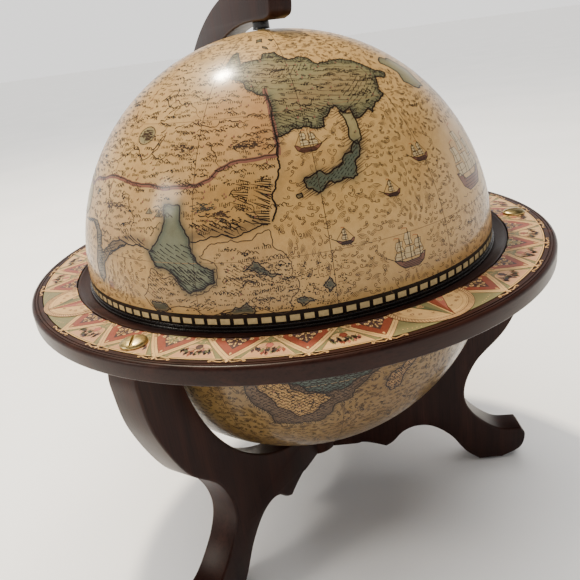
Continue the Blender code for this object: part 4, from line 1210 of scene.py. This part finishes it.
def rims():
    """The two glossy black rims at the seam."""
    face, bottom = UPPER_RIM_HIGH.z - 0.0040, LOWER_RIM_HIGH.z + GAP
    outer = R + 0.0004
    upper = [(0.1602, face + 0.0040), (0.1620, face + 0.0040), (0.1620, face), (outer, face), (outer, bottom),
             (0.1616, bottom), (0.1616, bottom - 0.0030), (0.1598, bottom - 0.0030)]
    mesh = lathe("seam_rim_upper", rounded(upper, 0.00035), 288, [BLACK])
    new_piece("seam_rim_upper", mesh, "dome", ["upper_rim"])
    top, seat = LOWER_RIM_HIGH.z, BOWL_Z + GAP
    wall, inner, flange, skirt = RING_BORE - 0.0004, R - WALL - 0.0001, LOWER_RIM_HIGH.x, R + 0.0004
    flange_bottom, flange_top = LOWER_RIM_LOW.z, RING_BOTTOM + 0.0031
    if flange_bottom > BOWL_Z:
        flange_bottom = RING_BOTTOM + GAP
    lower = [(inner, top), (wall, top), (wall, flange_top), (flange, flange_top), (flange, flange_bottom),
             (skirt, flange_bottom), (skirt, seat), (inner, seat)]
    mesh = lathe("seam_rim_lower", rounded(lower, 0.0004), 288, [BLACK])
    new_piece("seam_rim_lower", mesh, "stand", ["lower_rim"])


# ---------------------------------------------------------------- the horizon ring and its border
GROOVES = (1.2465, 1.2590)      # radii of the two fine grooves, in sphere radii
SLOTS = 28
CARTOUCHE_AT = -91.5


def horizon_ring():
    """The wooden ring: a coved inner edge, a recess for the print, two fine grooves and a rounded lip."""
    half, deep = 0.00045, 0.0005
    top = [(PRINT_INNER - 0.0002, RING_TOP), (PRINT_INNER, RING_TOP - PRINT_RECESS),
           (PRINT_OUTER, RING_TOP - PRINT_RECESS), (PRINT_OUTER + 0.0002, RING_TOP)]
    for groove in GROOVES:
        r = groove * R
        top += [(r - half, RING_TOP), (r - half / 3, RING_TOP - deep), (r + half / 3, RING_TOP - deep),
                (r + half, RING_TOP)]
    lip = arc((RING_RADIUS - 0.0026, RING_TOP - 0.0026), 0.0026, 90, 0, 8)
    foot = arc((RING_RADIUS - 0.0014, RING_BOTTOM + 0.0014), 0.0014, 0, -90, 5)
    rebate = [(0.1720, RING_BOTTOM), (0.1720, RING_BOTTOM + 0.0034), (RING_BORE, RING_BOTTOM + 0.0034)]
    cove_end = PRINT_INNER - 0.0014
    cove = arc((RING_BORE + 0.0002, RING_TOP - 0.0026), 0.0006, 180, 100, 4)
    hollow = [(RING_BORE + (cove_end - RING_BORE) * t, RING_TOP - 0.0020 + 0.0020 * t ** 1.9)
              for t in (0.25, 0.45, 0.62, 0.78, 0.9, 1.0)]
    mesh = lathe("ring_board", top + lip + foot + rebate + cove + hollow, 360, [WOOD], sharp=28.0)
    points = np.array([v.co for v in mesh.vertices])
    set_grain(mesh, points[:, [1, 0, 2]])
    new_piece("ring_board", mesh, "stand", ["horizon_ring"])
    low = PRINT_LOW.z
    outline = [(PRINT_INNER + GAP, RING_TOP), (PRINT_OUTER - GAP, RING_TOP), (PRINT_OUTER - GAP, low),
               (PRINT_INNER + GAP, low)]
    mesh = lathe("border_paper", outline, 360, [BORDER_PRINTS["sage"]])
    new_piece("border_paper", mesh, "stand", ["horizon_print"])


INNER_EDGE, OUTER_EDGE = 1.0705, 1.2245
# Curls as (x, y, size, first angle, turns).
HEART_CURLS = ((0.95, 1.117, 0.0070, 215, 1.0), (1.45, 1.093, 0.0100, 200, 1.15),
               (2.75, 1.082, 0.0085, 150, 1.25), (0.62, 1.083, 0.0060, 260, 0.9))
STAR_CURLS = ((2.4, 1.083, 0.012, 140, 1.2), (4.9, 1.088, 0.012, 60, 1.1), (5.6, 1.118, 0.010, 230, 1.0),
              (7.2, 1.083, 0.010, 140, 1.1), (4.2, 1.135, 0.008, 30, 1.0), (2.2, 1.150, 0.006, 200, 0.8))
FLOWER_TONES = ("rose", "plum", "olive", "night", "night", "red", "plum", "sage")


def chevron(half, tip):
    return [(-half, INNER_EDGE), (0, tip), (half, INNER_EDGE)]


def ring_curl(x, y, size, start, turns, flip=-1):
    """A volute in degrees and sphere radii; a degree is about 0.02 of a radius here."""
    return volute(x, y, size, start, flip * 360 * turns, 14, 0.8, 50)


def red_peak(sheet, angle, green_heart):
    """One of the pointed V shapes: a cream frame, a brick-red chevron and a scrolled heart."""
    pen = sheet.along(angle)
    pen.fill(chevron(6.43, 1.238), "cream", 2)
    pen.line(chevron(6.43, 1.238), 22, "line", 3)
    pen.fill(chevron(5.15, 1.200) + chevron(3.05, 1.155)[::-1], "red", 3)
    pen.line(chevron(5.15, 1.200), 26, "dark", 4)
    pen.line(chevron(5.8, 1.2185), 18, "line", 4)
    pen.fill(chevron(3.05, 1.155), "plum", 3)
    pen.line(chevron(2.9, 1.1515), 20, "dark", 4)
    if green_heart:
        pen.fill(chevron(2.2, 1.135), "sage", 4)
    pen.fill([(-0.24, 1.183), (0, 1.176), (0.24, 1.183), (0, 1.196)], "cream", 5)
    pen.line([(0, 1.076), (0, 1.136)], 80, "cream", 5)
    for y, size in ((1.122, 0.006), (1.104, 0.009), (1.086, 0.011)):
        bud = [(-14 * size, y - 0.4 * size), (0, y - size), (14 * size, y - 0.4 * size), (0, y + size)]
        pen.fill(bud, "cream", 5)
    wing = [(0.2, 1.229), (0.9, 1.240), (1.8, 1.2355), (2.4, 1.2300)]
    wing += ring_curl(2.75, 1.2355, 0.0055, 250, 0.9, 1)
    for flip in (1, -1):
        half = sheet.along(angle, flip)
        for curl in HEART_CURLS:
            half.line(ring_curl(*curl), 68, "cream", 5)
        pen.fill(oval(4.75 * flip, 1.0815, 0.62, 0.0105, 16), "buff", 4)
        half.line(ring_curl(4.75, 1.082, 0.0105, 120, 1.25), 40, "dark", 6)
        half.line(wing, 85, "cream", 6)
        half.line(wing, 22, "line", 7)
    crown = [(-0.35, 1.222), (0.35, 1.222), (0.25, 1.238), (0, 1.245), (-0.25, 1.238)]
    pen.fill(crown, "cream", 6)
    pen.loop(crown, 20, "line", 7)


def garden_panel(sheet, angle):
    """Between two peaks: a small scalloped panel with a vase of flowers and leaves."""
    pen = sheet.along(angle)
    panel = [(-4.35, 1.2165), (4.35, 1.2165), (2.6, 1.150), (1.9, 1.128), (0.9, 1.116), (0, 1.122),
             (-0.9, 1.116), (-1.9, 1.128), (-2.6, 1.150)]
    pen.fill(panel, "cream", 2)
    inner = [(0.9 * x, 1.165 + 0.9 * (y - 1.165)) for x, y in panel]
    pen.fill(inner, DICE.choice(("pink", "buff", "buff", "buff")), 3)
    pen.loop(panel, 24, "line", 4)
    pen.line([(-5.4, OUTER_EDGE - 0.0035), (5.4, OUTER_EDGE - 0.0035)], 90, "cream", 2)
    vase = [(-0.45, 1.124), (0.45, 1.124), (0.75, 1.140), (0.35, 1.150), (0.55, 1.156), (-0.55, 1.156),
            (-0.35, 1.150), (-0.75, 1.140)]
    pen.fill(vase, DICE.choice(("rose", "plum", "red")), 4)
    pen.loop(vase, 20, "dark", 5)
    for k in range(29):
        spread = (k - 14) / 14
        x, y = 3.2 * spread + DICE.uniform(-0.2, 0.2), 1.205 - 0.026 * abs(spread) - DICE.uniform(0, 0.030)
        lean, reach = DICE.uniform(-0.35, 0.35), DICE.uniform(0.011, 0.024)
        if abs(x) > 4.0 - (1.2165 - y) * 28:
            continue
        leaf = [(x, y - reach), (x + 0.34 + lean, y - reach * 0.3), (x + lean, min(1.213, y + reach * 0.55)),
                (x - 0.30 + lean, y - reach * 0.2)]
        pen.fill(leaf, DICE.choice(FLOWER_TONES), 4)
        pen.loop(leaf, 16, "dark", 5)
        if k % 3 == 0:
            pen.line([(0, 1.155), (x * 0.5, y - reach * 1.1), (x, y - reach)], 18, "olive", 5)
    for flip in (-1, 1):
        half = sheet.along(angle, flip)
        half.line(ring_curl(0.62, 1.101, 0.0065, 90, 1.0, 1), 40, "cream", 3)
        half.line(ring_curl(5.3, 1.207, 0.0055, 90, 0.9, 1), 30, "olive", 3)


def cartouche(sheet, angle):
    """The half-round frame with a two-pointed star, one at each quarter of the ring."""
    pen, reach = sheet.along(angle), 0.1835

    def polar(turn, radius):
        return math.degrees(radius * math.cos(turn) / 1.09), 1.0455 + radius * math.sin(turn)

    def bow(radius):
        points = [polar(math.radians(8 + 164 * k / 48), radius) for k in range(49)]
        return [(x, max(INNER_EDGE, y)) for x, y in points]
    pen.fill(bow(reach), "buff", 5)
    pen.fill(bow(reach - 0.024), "cream", 6)
    for inward, width, tone in ((0, 30, "dark"), (0.004, 22, "line"), (0.020, 30, "dark"),
                                (0.026, 20, "line"), (0.040, 18, "line")):
        pen.line(bow(reach - inward), width, tone, 7)
    for k in range(46):
        a = math.radians(8 + 164 * k / 45)
        twist = [polar(a + turn, reach - inward)
                 for inward, turn in ((0.005, -0.03), (0.012, 0.0), (0.019, 0.03))]
        pen.line(twist, 45, "line", 7)
    ray = [(0.22, INNER_EDGE), (0.22, 1.212), (1.35, 1.150), (3.9, INNER_EDGE)]
    for flip, tone, shade in ((-1, "sage", "olive"), (1, "red", "rose")):
        half = sheet.along(angle, flip)
        half.fill(ray, tone, 7)
        half.fill([(1.9, INNER_EDGE), (0.6, 1.170), (3.9, INNER_EDGE)], shade, 8)
        half.loop(ray, 22, "dark", 9)
        for curl in STAR_CURLS:
            half.line(ring_curl(*curl), 150, "buff", 9)
            half.line(ring_curl(*curl), 42, "line", 10)
        for k in range(5):
            pen.fill(oval(flip * (6.7 + 0.75 * k), 1.213 - 0.004 * k, 0.13, 0.0024, 6), "cream", 4)


def border_art():
    """The printed border: 28 places, of which every seventh is a cartouche."""
    pitch = 360 / SLOTS
    sheet = Sheet(on_ring, 1.0)
    for k in range(SLOTS):
        angle = CARTOUCHE_AT + pitch * k
        if k % 7 == 0:
            cartouche(sheet, angle)
            continue
        red_peak(sheet, angle, k % 7 == 3)
        if k % 7 != 6:
            garden_panel(sheet, angle + pitch / 2)
    for radius, width, tone in ((INNER_EDGE, 90, "cream"), (INNER_EDGE - 0.0015, 30, "dark"),
                                (OUTER_EDGE, 40, "dark")):
        sheet.loop([(2.0 * k, radius) for k in range(180)], width, tone, 3)
    sheet.build("border_drawing", "stand", "horizon_print", BORDER_PRINTS)


# ---------------------------------------------------------------- legs, arm, hub and fittings
def leg_outline(steps):
    """The leg's side view, counter-clockwise from the top of its inner edge."""
    start = math.degrees(math.asin((LEG_TOP - BOWL_Z) / LEG_ARC_RADIUS))
    end = -math.degrees(math.acos(LEG_BELLY[-1][0] / LEG_ARC_RADIUS))
    inner = arc((0.0, BOWL_Z), LEG_ARC_RADIUS, start, end, 9 * steps)
    stretches = [smooth_through(knots, steps)[::-1] for knots in (LEG_BELLY, LEG_ARCH, LEG_TOE, LEG_BACK)]
    belly, arch, toe, back = stretches
    return inner + belly[:-1] + arch + toe[:-1] + back[:-1]


def wooden_frame():
    for number, azimuth in enumerate(LEG_AZIMUTHS, 1):
        board(f"leg_board_{number}", leg_outline(8), LEG_THICKNESS, azimuth, "stand", f"leg_{number}")
    foot_in = math.degrees(math.asin((ARM_LOW.z - DOME_Z) / ARM_INNER_RADIUS))
    foot_out = math.degrees(math.asin((ARM_LOW.z - DOME_Z) / ARM_OUTER_RADIUS))
    outer = arc((0.0, DOME_Z), ARM_OUTER_RADIUS, foot_out, 90, 60)
    inner = arc((0.0, DOME_Z), ARM_INNER_RADIUS, 90, foot_in, 52)
    outline = outer + smooth_through(ARM_NOSE, 6)[1:] + inner
    board("arm_board", outline, ARM_THICKNESS, 90.0, "arm", "meridian_arm")
    top = HUB_HIGH.z
    curve = [(HUB_RADIUS * math.sin(a), HUB_LOW.z + 0.0060 * (1 - math.cos(a)))
             for a in (math.pi / 2 * (1 - k / 8) for k in range(8))]
    profile = [(0, top), (HUB_RADIUS - 0.0006, top), (HUB_RADIUS, top - 0.0006)] + curve + [(0, HUB_LOW.z)]
    mesh = to_mesh(disc(profile, 96), "hub_block", WOOD)
    set_grain(mesh, [(v.co.x, v.co.z, v.co.y) for v in mesh.vertices])
    new_piece("hub_block", mesh, "stand", ["leg_hub"])


def slotted_head(name, place, radius, height, slot_angle, shank, length, material, body, node):
    """A domed bolt head with its screwdriver slot, a small bead round its foot, and a plain shank."""
    profile = [(0.0, height)]
    profile += [(radius * math.sin(a), height * (0.22 + 0.78 * math.cos(a)))
                for a in (math.radians(6 * k) for k in range(1, 15))]
    profile += [(radius, height * 0.16), (radius, height * 0.05), (radius - 0.0002, 0.0), (shank, 0.0),
                (shank, -length), (0.0, -length)]
    head = show(to_mesh(disc(profile, 96), name, material), "uncut_" + name)
    cutter_work = bmesh.new()
    bmesh.ops.create_cube(cutter_work, size=1.0)
    size = Matrix.Diagonal((3 * radius, 0.27 * radius, 1.2 * height, 1.0))
    turn = Matrix.Rotation(math.radians(slot_angle), 4, "Z")
    bmesh.ops.transform(cutter_work, verts=cutter_work.verts,
                        matrix=turn @ Matrix.Translation((0, 0, 1.08 * height)) @ size)
    cutter = show(to_mesh(cutter_work, "slot_of_" + name, material), "slot_of_" + name)
    change = head.modifiers.new("slot", "BOOLEAN")
    change.object, change.solver = cutter, "EXACT"
    cut = evaluated(head)
    bpy.data.objects.remove(cutter)
    cut.transform(Matrix.Translation(place))
    smooth(cut)
    return new_piece(name, cut, body, [node])


def bolts():
    for number, slot_angle in ((1, 61.0), (2, -28.0)):
        low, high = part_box(f"ring_bolt_{number}")
        azimuth = math.radians(LEG_AZIMUTHS[number - 1])
        place = (BOLT_CIRCLE * math.cos(azimuth), BOLT_CIRCLE * math.sin(azimuth), RING_TOP + GAP)
        radius = (high.x - low.x) / 2
        slotted_head(f"brass_bolt_{number}", place, radius, high.z - place[2], slot_angle, 0.003,
                     place[2] - low.z, BRASS, "stand", f"ring_bolt_{number}")
    low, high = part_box("pole_bolt")
    head_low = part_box("pole_top_washer")[1].z + GAP
    slotted_head("brass_pole_bolt", (0, 0, head_low), (high.x - low.x) / 2, high.z - head_low, 20.0, 0.003,
                 head_low - low.z, BRASS, "arm", "pole_bolt")


def turned_fitting(name, node, bore, body, material, waist=1.0, flare=0.0, rise=0.0):
    """A washer or spacer with eased edges; a spacer may flare towards its foot."""
    low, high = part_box(node)
    radius, top = high.x, high.z + rise
    outline = [(bore, top), (radius * waist, top), (radius * waist, low.z + flare), (radius, low.z),
               (bore, low.z)]
    if not flare:
        outline = [outline[0], (radius, top), (radius, low.z), outline[-1]]
    mesh = lathe(name, rounded(outline, 0.0004), 96, [material])
    new_piece(name, mesh, body, [node])


def fittings():
    turned_fitting("spacer_collar", "pole_spacer", 0.0034, "arm", DULL_BLACK, waist=0.95,
                   flare=0.0014, rise=0.0005)
    turned_fitting("brass_pole_washer", "pole_top_washer", 0.0034, "arm", BRASS)
    turned_fitting("bowl_washer_disc", "bowl_washer", 0.0026, "stand", STEEL)
    by_slot = {"brass": BRASS, "steel": STEEL, "felt": FELT, "dowel_wood": DOWEL, "nylon": NYLON}
    for row in frame["record"]["subparts"]:
        node, material = frame["nodes"].get(row["node"]), by_slot.get(row["material_slot"])
        if node is None or material is None or node.hide_render:
            continue
        node.data.materials.clear()
        node.data.materials.append(material)


# ---------------------------------------------------------------- floor, lights and camera
def studio():
    """A wide white floor, and a room that is bright near the horizon and dim above."""
    bpy.ops.mesh.primitive_plane_add(size=160.0)
    floor = bpy.context.object
    floor.name = "floor"
    n = Nodes("floor")
    speck = n.ramp(n.noise(n.coords(), 3.0, 3), (0.3, "#f4f5f6"), (0.7, "#fbfbfc"))
    floor.data.materials.append(n.finish(speck, 0.95, Specular_IOR_Level=0.05))
    world = bpy.data.worlds.new("studio")
    world.use_nodes = True
    tree = world.node_tree
    height = tree.nodes.new("ShaderNodeSeparateXYZ")
    tree.links.new(tree.nodes.new("ShaderNodeTexCoord").outputs["Generated"], height.inputs[0])
    fall = tree.nodes.new("ShaderNodeMapRange")
    fall.interpolation_type = "SMOOTHSTEP"
    for name, value in (("From Min", 0.14), ("From Max", 0.42), ("To Min", 1.5), ("To Max", 0.10)):
        fall.inputs[name].default_value = value
    tree.links.new(height.outputs["Z"], fall.inputs["Value"])
    background = tree.nodes["Background"]
    background.inputs["Color"].default_value = (1.0, 0.985, 0.965, 1.0)
    tree.links.new(fall.outputs["Result"], background.inputs["Strength"])
    bpy.context.scene.world = world


def lamp(name, kind, towards, power, colour, distance=0.0, **settings):
    """A light that shines on the globe from a direction: a soft square, or a sun as wide as part of a room."""
    data = bpy.data.lights.new(name, kind)
    data.energy, data.color = power, colour
    for key, value in settings.items():
        setattr(data, key, value)
    made = show(data, name)
    direction = Vector(towards).normalized()
    made.location = Vector((0, 0, DOME_Z)) + direction * distance
    made.rotation_mode = "QUATERNION"
    made.rotation_quaternion = direction.to_track_quat("Z", "Y")
    return made


def lights():
    ceiling = lamp("ceiling", "SUN", (-0.06, 0.22, 0.97), 4.0, (1.0, 0.97, 0.92), angle=math.radians(80))
    ceiling.visible_glossy = False
    lamp("bulb", "AREA", (-0.02, 0.49, 0.87), 95, (1.0, 0.88, 0.68), 2.4, size=0.18)
    lamp("window", "AREA", (-0.855, 0.159, 0.495), 16, (1.0, 0.92, 0.80), 2.2, size=0.50)


CAMERA_AZIMUTH = -27.991        # 0 looks along +Y
CAMERA_ELEVATION = 17.804
CAMERA_DISTANCE = 3.076         # from the upper half's centre, in sphere radii
CAMERA_TILT, CAMERA_PAN, CAMERA_ROLL = 4.991, 0.535, -7.438


def camera():
    """The view of the photograph: near the object, slightly above it, looking a little under its middle."""
    data = bpy.data.cameras.new("camera")
    data.lens, data.sensor_width = 36.56, 36.0
    made = show(data, "camera")
    a, e = math.radians(CAMERA_AZIMUTH), math.radians(CAMERA_ELEVATION)
    back = Vector((math.sin(a) * math.cos(e), -math.cos(a) * math.cos(e), math.sin(e)))
    turn = Matrix.Rotation(a, 4, "Z")
    for angle, axis in ((90 - CAMERA_ELEVATION - CAMERA_TILT, "X"), (CAMERA_PAN, "Y"), (CAMERA_ROLL, "Z")):
        turn = turn @ Matrix.Rotation(math.radians(angle), 4, axis)
    made.matrix_world = Matrix.Translation(Vector((0, 0, DOME_Z)) + back * CAMERA_DISTANCE * R) @ turn
    bpy.context.scene.camera = made


# ---------------------------------------------------------------- putting it together
camera()
lights()
studio()
half_shell("upper_map", 1.0, DOME_Z, 0.0050, GAP, upper_map, "dome", "upper_dome")
half_shell("lower_map", -1.0, BOWL_Z, 0.0030, 0.0, lower_map, "stand", "lower_bowl")
scale_band()
rims()
horizon_ring()
border_art()
wooden_frame()
bolts()
fittings()
